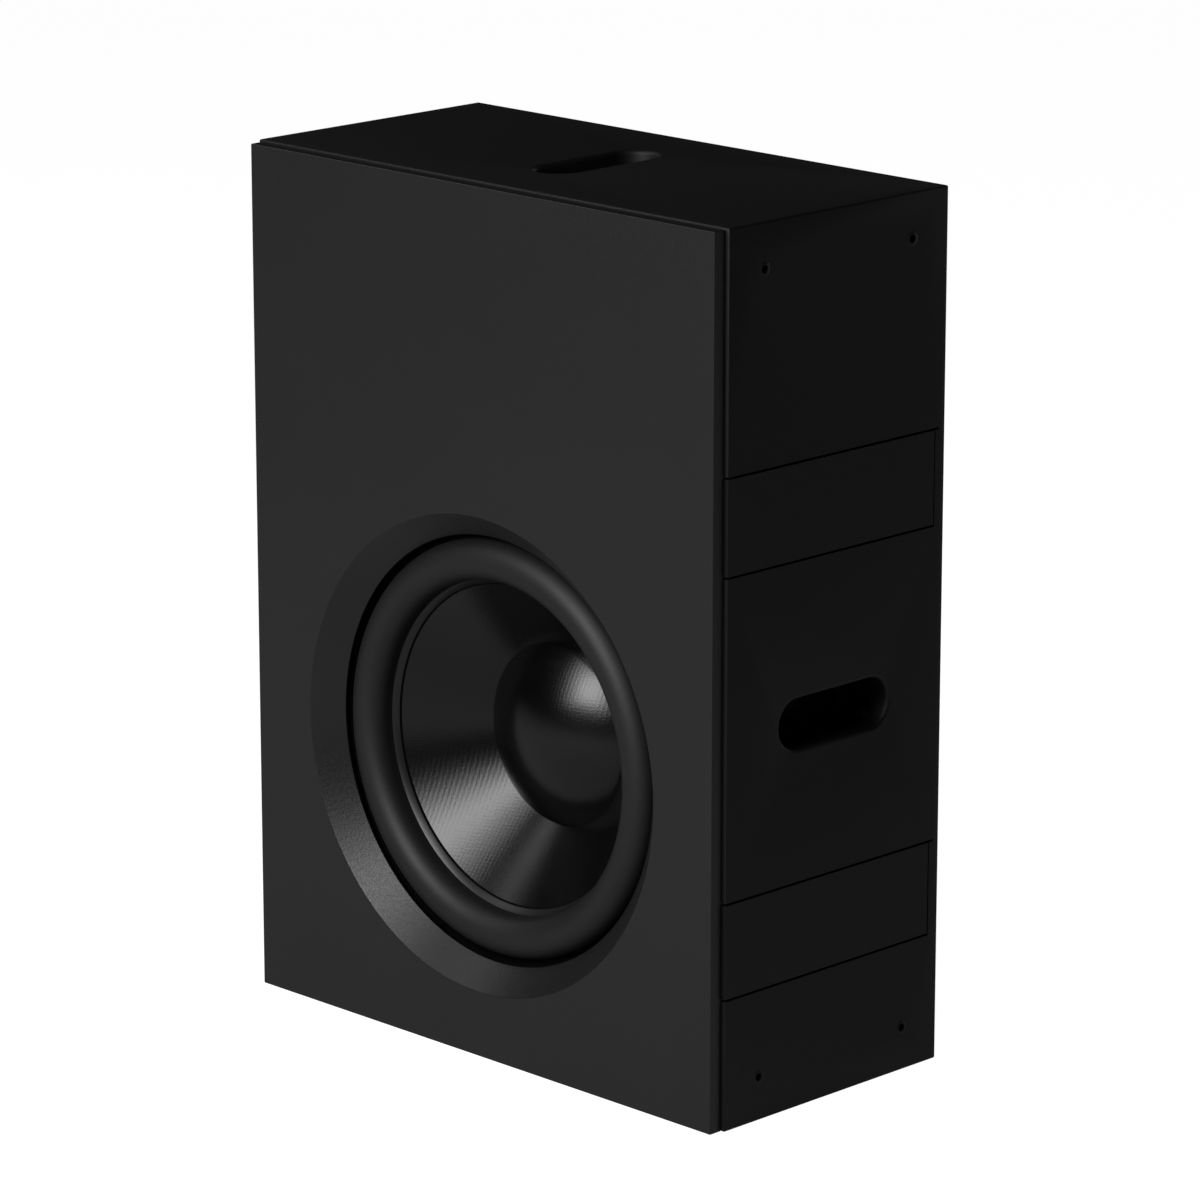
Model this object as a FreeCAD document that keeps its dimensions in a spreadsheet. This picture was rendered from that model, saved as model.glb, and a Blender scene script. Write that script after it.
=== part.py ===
import FreeCAD, Part
import math
import os
import re
import Sketcher

# Closed-box subwoofer cabinet with one 15 inch driver.
# The origin is the middle of the footprint: +X is to the right seen from the front, +Y goes to the
# rear, +Z is up. Every piece is drawn with its local y (or, in the driver, its local z) as the depth
# behind the carcass's front edge.

doc = FreeCAD.newDocument("SubwooferCabinet")

# Driving dimensions, in millimetres
SIZES = {
    # carcass
    "cabinet_width": 540,
    "cabinet_height": 733,
    "carcass_depth": 252,
    "wall": 18,
    "rebate": 9,
    "arris": 1.5,
    # front plate
    "lip_depth": 12.4,
    "plate_side_inset": 3.8,
    "plate_top_inset": 1.7,
    "boss_depth": 11,
    "boss_gap": 0.5,
    "recess_rim": 202.2,
    "recess_land": 180.7,
    "land_width": 2,
    # baffle behind it
    "baffle_thickness": 30,
    "seat_radius": 195,
    "seat_depth": 18,
    "cutout_radius": 176,
    # infill strips in the sides
    "strip_thickness": 5,
    "strip_height": 78.2,
    "strip_length": 239.5,
    "groove": 1.8,
    "rear_groove": 1,
    "overcut": 4.2,
    "strip_low": 150,
    "strip_high": 496,
    # hand slots and the cups behind them
    "slot_length": 126.7,
    "slot_width": 41.7,
    "slot_round": 3.5,
    "side_slot_depth": 124.7,
    "side_slot_height": 322,
    "top_slot_depth": 126,
    "cup_length": 140,
    "cup_width": 58,
    "cup_depth": 42,
    "cup_wall": 3.5,
    "flange_length": 164,
    "flange_width": 84,
    "flange_thickness": 3,
    "cup_screw_along": 76,
    "cup_screw_across": 36,
    "cup_screw_radius": 2,
    "cup_screw_length": 12,
    "cup_head_radius": 3.8,
    "cup_head_height": 2.6,
    # threaded inserts in the sides, bored to the tapping size of M8
    "insert_bore": 3.4,
    "insert_radius": 6,
    "insert_flange_radius": 10,
    "insert_flange": 1.5,
    "insert_relief": 20,
    "insert_front": 39.7,
    "insert_run": 170,
    "insert_low": 36.8,
    "insert_rise": 658.7,
    # damping felt
    "felt_side_front": 60,
    "felt_side_rear": 190,
    "felt_side_low": 58,
    "felt_side_high": 262,
    "felt_rear_half": 230,
    "felt_rear_low": 40,
    "felt_rear_high": 440,
    "felt_thickness": 20,
    "felt_corner": 6,
    # braces
    "brace_thickness": 18,
    "brace_low": 461,
    "brace_high": 601,
    "window_half": 190,
    "window_front": 80,
    "window_rear": 185,
    "window_corner": 25,
    # studs that hold the front plate
    "stud_across": 226,
    "stud_low": 48,
    "stud_high": 692,
    "stud_middle": 480,
    "stud_radius": 4,
    "stud_root": 8,
    "stud_neck": 3,
    "stud_snap": 6,
    "socket_radius": 7,
    "socket_depth": 14,
    "socket_floor": 3,
    # connector plate
    "connector_height": 537.5,
    "connector_pitch": 45,
    "recess_width": 100,
    "recess_height": 150,
    "recess_corner": 8,
    "recess_depth": 6,
    "connector_plate": 2,
    "connector_screw": 8,
    "jack_width": 26,
    "jack_height": 31,
    "jack_flange": 2,
    "jack_radius": 12,
    "jack_length": 26,
    "jack_bore": 11,
    "jack_core": 4.5,
    "jack_gap": 18,
    "lead_radius": 3.5,
    "link_radius": 2.2,
    "lead_offset": 5,
    "connector_inset": 9,
    "opening_width": 60,
    "opening_height": 110,
    # driver
    "driver_height": 258.1,
    "frame_radius": 194,
    "frame_front": 21,
    "frame_flange": 6,
    "frame_seal": 2,
    "bolt_circle": 186,
    "bolt_radius": 3,
    "bolt_clearance": 3.3,
    "bolt_count": 8,
    "bolt_head_radius": 5,
    "bolt_head_height": 6,
    "bolt_length": 26,
    "nut_radius": 4,
    "nut_barrel": 10,
    "nut_flange_radius": 9,
    "nut_flange": 1.5,
    "gasket_inner": 180.8,
    "gasket_height": 6,
    "rubber": 1.4,
    "roll_centre": 159.2,
    "roll_radius": 17.5,
    "roll_depth": 20.5,
    "lip_inner": 136.1,
    "lip_thickness": 1.6,
    "lip_width": 5.3,
    "cone_edge": 142.9,
    "cone_depth": 30.9,
    "cone_slope": 0.845,
    "cone_skin": 1.6,
    "cap_radius": 77,
    "cap_apex_depth": 53,
    "cap_skin": 0.9,
    "coil_bore": 49.9,
    "former_outer": 50.3,
    "former_front": 99,
    "winding_outer": 51.6,
    "winding_front": 136,
    "winding_length": 30,
    "spider_outer": 101,
    "spider_cloth": 0.8,
    "spider_collar": 52,
    "spider_rise": 7,
    "spider_ripple": 4.4,
    "landing": 120,
    "basket_floor": 138,
    "basket_gap": 3,
    "basket_wall": 6,
    "basket_draft": 5,
    "basket_knee": 22,
    "window_angle": 33,
    "rib_thickness": 7,
    "terminal_half": 22,
    "terminal_boss": 108,
    "terminal_board": 3,
    "terminal_block": 13,
    "terminal_depth": 135,
    "top_plate_front": 146,
    "top_plate_thickness": 10,
    "top_plate_bore": 52.3,
    "top_plate_radius": 94,
    "magnet_radius": 100,
    "magnet_bore": 60,
    "magnet_length": 25,
    "yoke_thickness": 12,
    "yoke_radius": 94,
    "pole_radius": 49.2,
    "vent_radius": 17,
}

sheet = doc.addObject("Spreadsheet::Sheet", "Sizes")
for row, (alias, size) in enumerate(SIZES.items(), 1):
    sheet.set(f"A{row}", alias)
    sheet.set(f"B{row}", str(size))
    sheet.setAlias(f"B{row}", alias)
doc.recompute()


def ref(text):
    # words in a size's expression name cells of the sheet
    return re.sub(r"\b[a-z][a-z_]+\b(?!\()", lambda word: "Sizes." + word.group(0), str(text))


def value(text):
    return float(sheet.evalExpression(ref(text)))


# Sketches

NORMALS = {"XY_Plane": 1, "XZ_Plane": -1, "YZ_Plane": 1}


def sketch_on(body, plane, offset="0"):
    # a sketch parallel to one of the body's own planes, that far along +Z, +Y or +X
    base = next(f for f in body.Origin.OriginFeatures if f.Role == plane)
    sketch = body.newObject("Sketcher::SketchObject", "Sketch")
    sketch.AttachmentSupport = [(base, "")]
    sketch.MapMode = "FlatFace"
    sketch.setExpression("AttachmentOffset.Base.z", ref(f"{NORMALS[plane]} * ({offset})"))
    return sketch


def hold(sketch, kind, text, *where):
    index = sketch.addConstraint(Sketcher.Constraint(kind, *where, value(text)))
    sketch.setExpression(f"Constraints[{index}]", ref(text))


def outline(sketch, corners):
    # A closed outline. A corner is (x, y), or (x, y, cx, cy, turn) where an arc about (cx, cy) leads
    # to it, anticlockwise where turn is 1 and clockwise where it is -1.
    first = sketch.GeometryCount
    count = len(corners)
    ends = []
    for i, corner in enumerate(corners):
        a = FreeCAD.Vector(value(corners[i - 1][0]), value(corners[i - 1][1]), 0)
        b = FreeCAD.Vector(value(corner[0]), value(corner[1]), 0)
        if len(corner) == 2:
            sketch.addGeometry(Part.LineSegment(a, b), False)
            ends.append((1, 2))
            continue
        centre = FreeCAD.Vector(value(corner[2]), value(corner[3]), 0)
        start, stop = (a, b) if corner[4] > 0 else (b, a)
        angles = [math.atan2(p.y - centre.y, p.x - centre.x) for p in (start, stop)]
        circle = Part.Circle(centre, FreeCAD.Vector(0, 0, 1), (a - centre).Length)
        sketch.addGeometry(Part.ArcOfCircle(circle, *angles), False)
        ends.append((1, 2) if corner[4] > 0 else (2, 1))
    for i in range(count):
        after = (i + 1) % count
        sketch.addConstraint(
            Sketcher.Constraint("Coincident", first + i, ends[i][1], first + after, ends[after][0])
        )
        hold(sketch, "DistanceX", corners[i][0], -1, 1, first + i, ends[i][1])
        hold(sketch, "DistanceY", corners[i][1], -1, 1, first + i, ends[i][1])
        if len(corners[i]) > 2:
            dx = value(corners[i][0]) - value(corners[i - 1][0])
            dy = value(corners[i][1]) - value(corners[i - 1][1])
            if abs(dx) > abs(dy):
                hold(sketch, "DistanceY", corners[i][3], -1, 1, first + i, 3)
            else:
                hold(sketch, "DistanceX", corners[i][2], -1, 1, first + i, 3)


def rectangle(sketch, x0, x1, y0, y1):
    outline(sketch, [(x0, y0), (x1, y0), (x1, y1), (x0, y1)])


def circle(sketch, x, y, radius):
    index = sketch.addGeometry(
        Part.Circle(FreeCAD.Vector(value(x), value(y), 0), FreeCAD.Vector(0, 0, 1), value(radius)), False
    )
    hold(sketch, "DistanceX", x, -1, 1, index, 3)
    hold(sketch, "DistanceY", y, -1, 1, index, 3)
    hold(sketch, "Radius", radius, index)


def stadium(sketch, x, y, length, width):
    # a slot whose long axis lies along the sketch's x
    run = f"({length} - {width}) / 2"
    low, high = f"{y} - {width} / 2", f"{y} + {width} / 2"
    outline(
        sketch,
        [
            (f"{x} + {run}", low),
            (f"{x} + {run}", high, f"{x} + {run}", y, 1),
            (f"{x} - {run}", high),
            (f"{x} - {run}", low, f"{x} - {run}", y, 1),
        ],
    )


def rounded(sketch, x, y, width, height, corner):
    left, right = f"{x} - {width} / 2", f"{x} + {width} / 2"
    low, high = f"{y} - {height} / 2", f"{y} + {height} / 2"
    outline(
        sketch,
        [
            (f"{right} - {corner}", low),
            (right, f"{low} + {corner}", f"{right} - {corner}", f"{low} + {corner}", 1),
            (right, f"{high} - {corner}"),
            (f"{right} - {corner}", high, f"{right} - {corner}", f"{high} - {corner}", 1),
            (f"{left} + {corner}", high),
            (left, f"{high} - {corner}", f"{left} + {corner}", f"{high} - {corner}", 1),
            (left, f"{low} + {corner}"),
            (f"{left} + {corner}", low, f"{left} + {corner}", f"{low} + {corner}", 1),
        ],
    )


# Bodies and features

parts = []
FRONT_EDGE = "lip_depth / 2 - carcass_depth / 2"


def new_body(label, place=("0", FRONT_EDGE, "0"), turn=None):
    # the usual place puts local y = 0 at the carcass's front edge
    body = doc.addObject("PartDesign::Body", "Body")
    body.Label = label
    if turn:
        body.Placement = FreeCAD.Placement(FreeCAD.Vector(), FreeCAD.Rotation(*turn))
    for axis, text in zip("xyz", place):
        body.setExpression(f"Placement.Base.{axis}", ref(text))
    parts.append(body)
    return body


def driver_body(label):
    # local z is the depth along the driver's axis, and local x is the radius in a revolved profile
    return new_body(label, ("0", FRONT_EDGE, "driver_height"), (FreeCAD.Vector(1, 0, 0), -90))


def settle(body, made):
    # a failed feature raises nothing by itself
    doc.recompute()
    if "Up-to-date" not in made.State or not body.Shape.isValid():
        raise RuntimeError(f"{body.Label}: {made.Name} is {made.State}")
    return made


def feature(body, kind, sketch):
    made = body.newObject(f"PartDesign::{kind}", kind)
    made.Profile = sketch
    return made


def pad(body, sketch, length, against=False):
    # against grows it the other way from the sketch's normal
    made = feature(body, "Pad", sketch)
    made.setExpression("Length", ref(length))
    made.Reversed = against
    return settle(body, made)


def cut_by(body, made, before):
    # a cut that points away from the solid removes nothing and gives no error
    settle(body, made)
    if body.Shape.Volume > before - 0.01:
        raise RuntimeError(f"{body.Label}: {made.Name} cut nothing")
    return made


def pocket(body, sketch, length=None, along=False):
    # along cuts in the direction of the sketch's normal; with no length it goes right through
    before = body.Shape.Volume
    made = feature(body, "Pocket", sketch)
    if length is None:
        made.Type = "ThroughAll"
    else:
        made.setExpression("Length", ref(length))
    made.Reversed = along
    return cut_by(body, made, before)


def spin(body, sketch, axis="V_Axis"):
    made = feature(body, "Revolution", sketch)
    made.ReferenceAxis = (sketch, [axis])
    made.Angle = 360
    return settle(body, made)


def groove(body, sketch, axis="H_Axis"):
    before = body.Shape.Volume
    made = feature(body, "Groove", sketch)
    made.ReferenceAxis = (sketch, [axis])
    made.Angle = 360
    return cut_by(body, made, before)


def revolved(label, corners):
    # a ring or disc of the driver, from a profile of (radius, depth) corners
    body = driver_body(label)
    sketch = sketch_on(body, "XZ_Plane")
    outline(sketch, corners)
    spin(body, sketch)
    return body


def repeat_round(body, made, count):
    # copies round the body's own z axis
    pattern = body.newObject("PartDesign::PolarPattern", "Pattern")
    pattern.Originals = [made]
    pattern.Axis = (next(f for f in body.Origin.OriginFeatures if f.Role == "Z_Axis"), [""])
    pattern.Angle = 360
    pattern.setExpression("Occurrences", ref(count))
    body.Tip = pattern
    return settle(body, pattern)


def rings(sketch, places, *radii):
    # one circle, or an outer and an inner one, at each place
    for x, y in places:
        for radius in radii:
            circle(sketch, x, y, radius)


def pegs(body, plane, offset, places, radii, length, against=False):
    # equal round pegs, or tubes where two radii are given, standing on one plane
    sketch = sketch_on(body, plane, offset)
    rings(sketch, places, *([radii] if isinstance(radii, str) else radii))
    return pad(body, sketch, length, against)


def four(x, y, half_x, half_y):
    # the corners of a rectangle about (x, y)
    return [(f"{x} + {i} * ({half_x})", f"{y} + {j} * ({half_y})") for i in (-1, 1) for j in (-1, 1)]


def edges_where(body, test):
    # names of the tip's edges whose every vertex and middle passes the test
    names = []
    for i, edge in enumerate(body.Tip.Shape.Edges, 1):
        middle = edge.valueAt((edge.FirstParameter + edge.LastParameter) / 2)
        points = [vertex.Point for vertex in edge.Vertexes] + [middle]
        if all(test(p) for p in points):
            names.append(f"Edge{i}")
    return names


def fillet(body, test, radius):
    base = (body.Tip, edges_where(body, test))
    made = body.newObject("PartDesign::Fillet", "Fillet")
    made.Base = base
    made.setExpression("Radius", ref(radius))
    return settle(body, made)


def near(a, b):
    return abs(a - b) < 0.01


# Places that repeat

INSERTS = [
    (y, z)
    for y in ("insert_front", "insert_front + insert_run")
    for z in ("insert_low", "insert_low + insert_rise")
]
STUDS = [(f"{i} * stud_across", z) for i in (-1, 1) for z in ("stud_low", "stud_middle", "stud_high")]
CONNECTOR_SCREWS = four(
    "0",
    "connector_height",
    "recess_width / 2 - connector_inset",
    "recess_height / 2 - connector_inset",
)
CUP_SCREWS = four("0", "0", "cup_screw_along", "cup_screw_across")
CUP_SCREW_REACH = "flange_thickness + cup_screw_length"
BOLT_STEP = 360 / SIZES["bolt_count"]
BOLTS = [
    (f"bolt_circle * cos({(i + 0.5) * BOLT_STEP})", f"bolt_circle * sin({(i + 0.5) * BOLT_STEP})")
    for i in range(SIZES["bolt_count"])
]


# Carcass


def outer_edges(planes):
    # tests for a point on two of the carcass's outer planes, given as {axis: values}
    def test(p):
        hits = sum(near(getattr(p, axis), v) for axis, values in planes.items() for v in values)
        return hits >= 2

    return test


def side_panel(label, side):
    # side is 1 for the right panel and -1 for the left, a true mirror image
    body = new_body(label)
    inner = f"{side} * (cabinet_width / 2 - wall)"
    outer = f"{side} * cabinet_width / 2"
    left = side < 0
    board = sketch_on(body, "YZ_Plane", inner)
    rectangle(board, "0", "carcass_depth", "0", "cabinet_height")
    pad(body, board, "wall", left)
    planes = {
        "x": [value(outer)],
        "y": [0, value("carcass_depth")],
        "z": [0, value("cabinet_height")],
    }
    fillet(body, outer_edges(planes), "arris")

    # rebates for the top, bottom and rear panels, one C-shaped cut
    rebates = sketch_on(body, "YZ_Plane", inner)
    rear = "carcass_depth - wall"
    outline(
        rebates,
        [
            ("0", "cabinet_height - wall"),
            (rear, "cabinet_height - wall"),
            (rear, "wall"),
            ("0", "wall"),
            ("0", "0"),
            ("carcass_depth", "0"),
            ("carcass_depth", "cabinet_height"),
            ("0", "cabinet_height"),
        ],
    )
    pocket(body, rebates, "rebate", not left)

    # pockets for the infill strips, open at the front, with the cutter's overrun at the top rear corner
    pockets = sketch_on(body, "YZ_Plane", outer)
    end = "strip_length + rear_groove"
    for height in ("strip_low", "strip_high"):
        low = f"{height} - strip_height / 2 - groove"
        high = f"{height} + strip_height / 2 + groove"
        outline(
            pockets,
            [
                ("0", low),
                (end, low),
                (end, f"{high} - groove"),
                (f"{end} + overcut", f"{high} - groove"),
                (f"{end} + overcut", high),
                ("0", high),
            ],
        )
    pocket(body, pockets, "strip_thickness", left)

    slot = sketch_on(body, "YZ_Plane", outer)
    stadium(slot, "side_slot_depth", "side_slot_height", "slot_length", "slot_width")
    pocket(body, slot, None, left)
    x, centre_y, centre_z = value(outer), value("side_slot_depth"), value("side_slot_height")
    half, rise = value("slot_length / 2") + 0.1, value("slot_width / 2") + 0.1

    def on_slot(p):
        return near(p.x, x) and abs(p.y - centre_y) < half and abs(p.z - centre_z) < rise

    fillet(body, on_slot, "slot_round")

    holes = sketch_on(body, "YZ_Plane", outer)
    rings(holes, INSERTS, "insert_radius")
    pocket(body, holes, None, left)

    pilots = sketch_on(body, "YZ_Plane", inner)
    rings(
        pilots,
        four("side_slot_depth", "side_slot_height", "cup_screw_along", "cup_screw_across"),
        "cup_screw_radius",
    )
    pocket(body, pilots, "cup_screw_length", not left)
    return body


def deck_panel(label, top):
    # the top panel, with a hand slot, or the plain bottom panel
    body = new_body(label)
    inner = "cabinet_height - wall" if top else "wall"
    outer = "cabinet_height" if top else "0"
    half = "cabinet_width / 2 - rebate"
    board = sketch_on(body, "XY_Plane", inner)
    rectangle(board, f"-({half})", half, "0", "carcass_depth")
    pad(body, board, "wall", not top)
    rear = sketch_on(body, "XY_Plane", inner)
    rectangle(rear, f"-({half})", half, "carcass_depth - wall", "carcass_depth")
    pocket(body, rear, "rebate", top)
    planes = {"y": [0, value("carcass_depth")], "z": [value(outer)]}
    fillet(body, outer_edges(planes), "arris")
    if not top:
        return body
    slot = sketch_on(body, "XY_Plane", outer)
    across, low, high = (
        "slot_width / 2",
        "top_slot_depth - (slot_length - slot_width) / 2",
        "top_slot_depth + (slot_length - slot_width) / 2",
    )
    outline(
        slot,
        [
            (across, high),
            (f"-({across})", high, "0", high, 1),
            (f"-({across})", low),
            (across, low, "0", low, 1),
        ],
    )
    pocket(body, slot)
    z, centre_y = value(outer), value("top_slot_depth")
    half_length, half_width = value("slot_length / 2") + 0.1, value("slot_width / 2") + 0.1

    def on_slot(p):
        return near(p.z, z) and abs(p.y - centre_y) < half_length and abs(p.x) < half_width

    fillet(body, on_slot, "slot_round")
    pilots = sketch_on(body, "XY_Plane", inner)
    rings(
        pilots, four("0", "top_slot_depth", "cup_screw_across", "cup_screw_along"), "cup_screw_radius"
    )
    pocket(body, pilots, "cup_screw_length", True)
    return body


def rear_panel():
    body = new_body("rear_panel")
    half = "cabinet_width / 2 - rebate"
    inner, outer = "carcass_depth - wall", "carcass_depth"
    board = sketch_on(body, "XZ_Plane", inner)
    rectangle(board, f"-({half})", half, "rebate", "cabinet_height - rebate")
    pad(body, board, "wall", True)
    recess = sketch_on(body, "XZ_Plane", outer)
    rounded(recess, "0", "connector_height", "recess_width", "recess_height", "recess_corner")
    pocket(body, recess, "recess_depth", True)
    opening = sketch_on(body, "XZ_Plane", outer)
    rounded(opening, "0", "connector_height", "opening_width", "opening_height", "recess_corner")
    pocket(body, opening, None, True)
    pilots = sketch_on(body, "XZ_Plane", outer)
    rings(pilots, CONNECTOR_SCREWS, "cup_screw_radius")
    pocket(body, pilots, "recess_depth + connector_screw", True)
    return body


def front_plate():
    # one board whose front laps the carcass all round, with the conical recess turned in it
    body = new_body("front_plate")
    side = "cabinet_width / 2 - plate_side_inset"
    face = sketch_on(body, "XZ_Plane", "-lip_depth")
    rectangle(face, f"-({side})", side, "0", "cabinet_height - plate_top_inset")
    pad(body, face, "lip_depth", True)
    boss_side = "cabinet_width / 2 - wall - boss_gap"
    boss = sketch_on(body, "XZ_Plane", "0")
    rectangle(
        boss, f"-({boss_side})", boss_side, "wall + boss_gap", "cabinet_height - wall - boss_gap"
    )
    pad(body, boss, "boss_depth", True)
    recess = sketch_on(body, "YZ_Plane")
    recess.setExpression("AttachmentOffset.Base.y", ref("driver_height"))
    outline(
        recess,
        [
            ("-lip_depth", "0"),
            ("boss_depth", "0"),
            ("boss_depth", "recess_land"),
            ("boss_depth - land_width", "recess_land"),
            ("-lip_depth", "recess_rim"),
        ],
    )
    groove(body, recess)
    holes = sketch_on(body, "XZ_Plane", "boss_depth")
    rings(holes, STUDS, "stud_radius")
    pocket(body, holes, "stud_root", True)
    return body


def sub_baffle():
    body = new_body("sub_baffle")
    half = "cabinet_width / 2 - wall"
    board = sketch_on(body, "XZ_Plane", "boss_depth")
    rectangle(board, f"-({half})", half, "wall", "cabinet_height - wall")
    pad(body, board, "baffle_thickness", True)
    seat = sketch_on(body, "YZ_Plane")
    seat.setExpression("AttachmentOffset.Base.y", ref("driver_height"))
    outline(
        seat,
        [
            ("boss_depth", "0"),
            ("boss_depth + baffle_thickness", "0"),
            ("boss_depth + baffle_thickness", "cutout_radius"),
            ("boss_depth + seat_depth", "cutout_radius"),
            ("boss_depth + seat_depth", "seat_radius"),
            ("boss_depth", "seat_radius"),
        ],
    )
    groove(body, seat)
    holes = sketch_on(body, "XZ_Plane", "boss_depth")
    rings(holes, STUDS, "socket_radius")
    pocket(body, holes, "socket_depth", False)
    bolts = sketch_on(body, "XZ_Plane", "boss_depth")
    bolts.setExpression("AttachmentOffset.Base.y", ref("driver_height"))
    rings(bolts, BOLTS, "nut_radius")
    pocket(body, bolts)
    # relief in both edges for the side inserts and the ends of their bolts
    for side in (-1, 1):
        relief = sketch_on(body, "YZ_Plane", f"{side} * ({half})")
        rings(relief, INSERTS[:2], "insert_flange_radius + 0.5")
        pocket(body, relief, "insert_relief", side < 0)
    return body


def brace(label, low):
    body = new_body(label)
    half = "cabinet_width / 2 - wall"
    front = "boss_depth + baffle_thickness"
    board = sketch_on(body, "XY_Plane", low)
    rectangle(board, f"-({half})", half, front, "carcass_depth - wall")
    pad(body, board, "brace_thickness")
    window = sketch_on(body, "XY_Plane", low)
    rounded(
        window,
        "0",
        "(window_front + window_rear) / 2",
        "window_half * 2",
        "(window_rear - window_front)",
        "window_corner",
    )
    pocket(body, window, None, True)
    return body


def infill_strip(label, side, height):
    body = new_body(label)
    outer = f"{side} * cabinet_width / 2"
    strip = sketch_on(body, "YZ_Plane", outer)
    rectangle(strip, "0", "strip_length", f"{height} - strip_height / 2", f"{height} + strip_height / 2")
    pad(body, strip, "strip_thickness", side > 0)
    x = value(outer)
    fillet(body, lambda p: near(p.x, x) and near(p.y, 0), "arris")
    return body


# Fittings

# A hand cup is drawn with its mouth on local z = 0, opening towards +Z, and its long axis along local x.
# Each place is (name, position of the mouth's middle, turn).


def turned(x_axis, y_axis, z_axis):
    # the turn that takes the local axes to these directions
    return FreeCAD.Rotation(*[FreeCAD.Vector(*axis) for axis in (x_axis, y_axis, z_axis)], "ZXY")


CUP_PLACES = [
    (
        "right",
        ("cabinet_width / 2 - wall", f"side_slot_depth + {FRONT_EDGE}", "side_slot_height"),
        turned((0, 1, 0), (0, 0, 1), (1, 0, 0)),
    ),
    (
        "left",
        ("wall - cabinet_width / 2", f"side_slot_depth + {FRONT_EDGE}", "side_slot_height"),
        turned((0, -1, 0), (0, 0, 1), (-1, 0, 0)),
    ),
    (
        "top",
        ("0", f"top_slot_depth + {FRONT_EDGE}", "cabinet_height - wall"),
        turned((0, 1, 0), (-1, 0, 0), (0, 0, 1)),
    ),
]


def cup_body(label, place, rotation):
    body = new_body(label, place)
    body.Placement = FreeCAD.Placement(body.Placement.Base, rotation)
    doc.recompute()
    return body


def handle_cup(name, place, rotation):
    body = cup_body(f"handle_cup_{name}", place, rotation)
    flange = sketch_on(body, "XY_Plane")
    rounded(flange, "0", "0", "flange_length", "flange_width", "6")
    pad(body, flange, "flange_thickness", True)
    box = sketch_on(body, "XY_Plane")
    rounded(box, "0", "0", "(cup_length + 2 * cup_wall)", "(cup_width + 2 * cup_wall)", "17.5")
    pad(body, box, "cup_depth + cup_wall", True)
    cavity = sketch_on(body, "XY_Plane")
    rounded(cavity, "0", "0", "cup_length", "cup_width", "14")
    pocket(body, cavity, "cup_depth")
    for depth, radius in (("cup_depth + cup_wall", "cup_wall * 2"), ("cup_depth", "cup_wall")):
        floor = -value(depth)
        fillet(body, lambda p: near(p.z, floor), radius)
    screws = sketch_on(body, "XY_Plane")
    rings(screws, CUP_SCREWS, "cup_screw_radius")
    pocket(body, screws)
    return body


def cup_screws(name, place, rotation):
    # pan-head screws through the cup's flange into the panel
    body = cup_body(f"cup_screws_{name}", place, rotation)
    pegs(body, "XY_Plane", "-flange_thickness", CUP_SCREWS, "cup_screw_radius", CUP_SCREW_REACH)
    pegs(body, "XY_Plane", "-flange_thickness", CUP_SCREWS, "cup_head_radius", "cup_head_height", True)
    return body


def side_inserts(label, side):
    # threaded sleeves pressed in from inside until their ends are flush with the outer face
    body = new_body(label)
    inner = f"{side} * (cabinet_width / 2 - wall)"
    pegs(body, "YZ_Plane", inner, INSERTS, ("insert_radius", "insert_bore"), "wall", side < 0)
    flange = ("insert_flange_radius", "insert_bore")
    pegs(body, "YZ_Plane", inner, INSERTS, flange, "insert_flange", side > 0)
    return body


def plate_studs():
    # shanks screwed into the plate, each with a narrow neck and a head that snaps into its socket
    body = new_body("plate_studs")
    pegs(body, "XZ_Plane", "boss_depth - stud_root", STUDS, "stud_radius", "stud_root", True)
    snap = "boss_depth + stud_neck"
    pegs(body, "XZ_Plane", "boss_depth", STUDS, "stud_radius - 1.5", "stud_neck", True)
    pegs(body, "XZ_Plane", snap, STUDS, "stud_radius - 0.3", "stud_snap", True)
    return body


def stud_sockets():
    # nylon cups let into the baffle
    body = new_body("stud_sockets")
    pegs(body, "XZ_Plane", "boss_depth", STUDS, "socket_radius", "socket_depth", True)
    bores = sketch_on(body, "XZ_Plane", "boss_depth")
    rings(bores, STUDS, "stud_radius")
    pocket(body, bores, "socket_depth - socket_floor")
    return body


def felt_board(label, plane, offset, across, along, against):
    # glued-on damping felt, between two limits each way
    body = new_body(label)
    board = sketch_on(body, plane, offset)
    middles = [f"({low} + {high}) / 2" for low, high in (across, along)]
    spans = [f"({high} - ({low}))" for low, high in (across, along)]
    rounded(board, *middles, *spans, "felt_corner")
    pad(body, board, "felt_thickness", against)
    return body


# Connectors and leads

PLATE_BACK = "carcass_depth - recess_depth"
PLATE_FACE = "carcass_depth - recess_depth + connector_plate"
SOCKETS = {
    "lower": "connector_height - connector_pitch / 2",
    "upper": "connector_height + connector_pitch / 2",
}


def connector_plate():
    body = new_body("connector_plate")
    plate = sketch_on(body, "XZ_Plane", PLATE_BACK)
    rounded(
        plate,
        "0",
        "connector_height",
        "(recess_width - 1)",
        "(recess_height - 1)",
        "recess_corner",
    )
    pad(body, plate, "connector_plate", True)
    holes = sketch_on(body, "XZ_Plane", PLATE_FACE)
    rings(holes, [("0", height) for height in SOCKETS.values()], "jack_radius")
    rings(holes, CONNECTOR_SCREWS, "cup_screw_radius")
    pocket(body, holes, None, True)
    return body


def connector_screws():
    body = new_body("connector_screws")
    reach = "connector_plate + connector_screw"
    pegs(body, "XZ_Plane", PLATE_FACE, CONNECTOR_SCREWS, "cup_screw_radius", reach)
    pegs(body, "XZ_Plane", PLATE_FACE, CONNECTOR_SCREWS, "cup_head_radius", "jack_flange", True)
    return body


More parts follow.
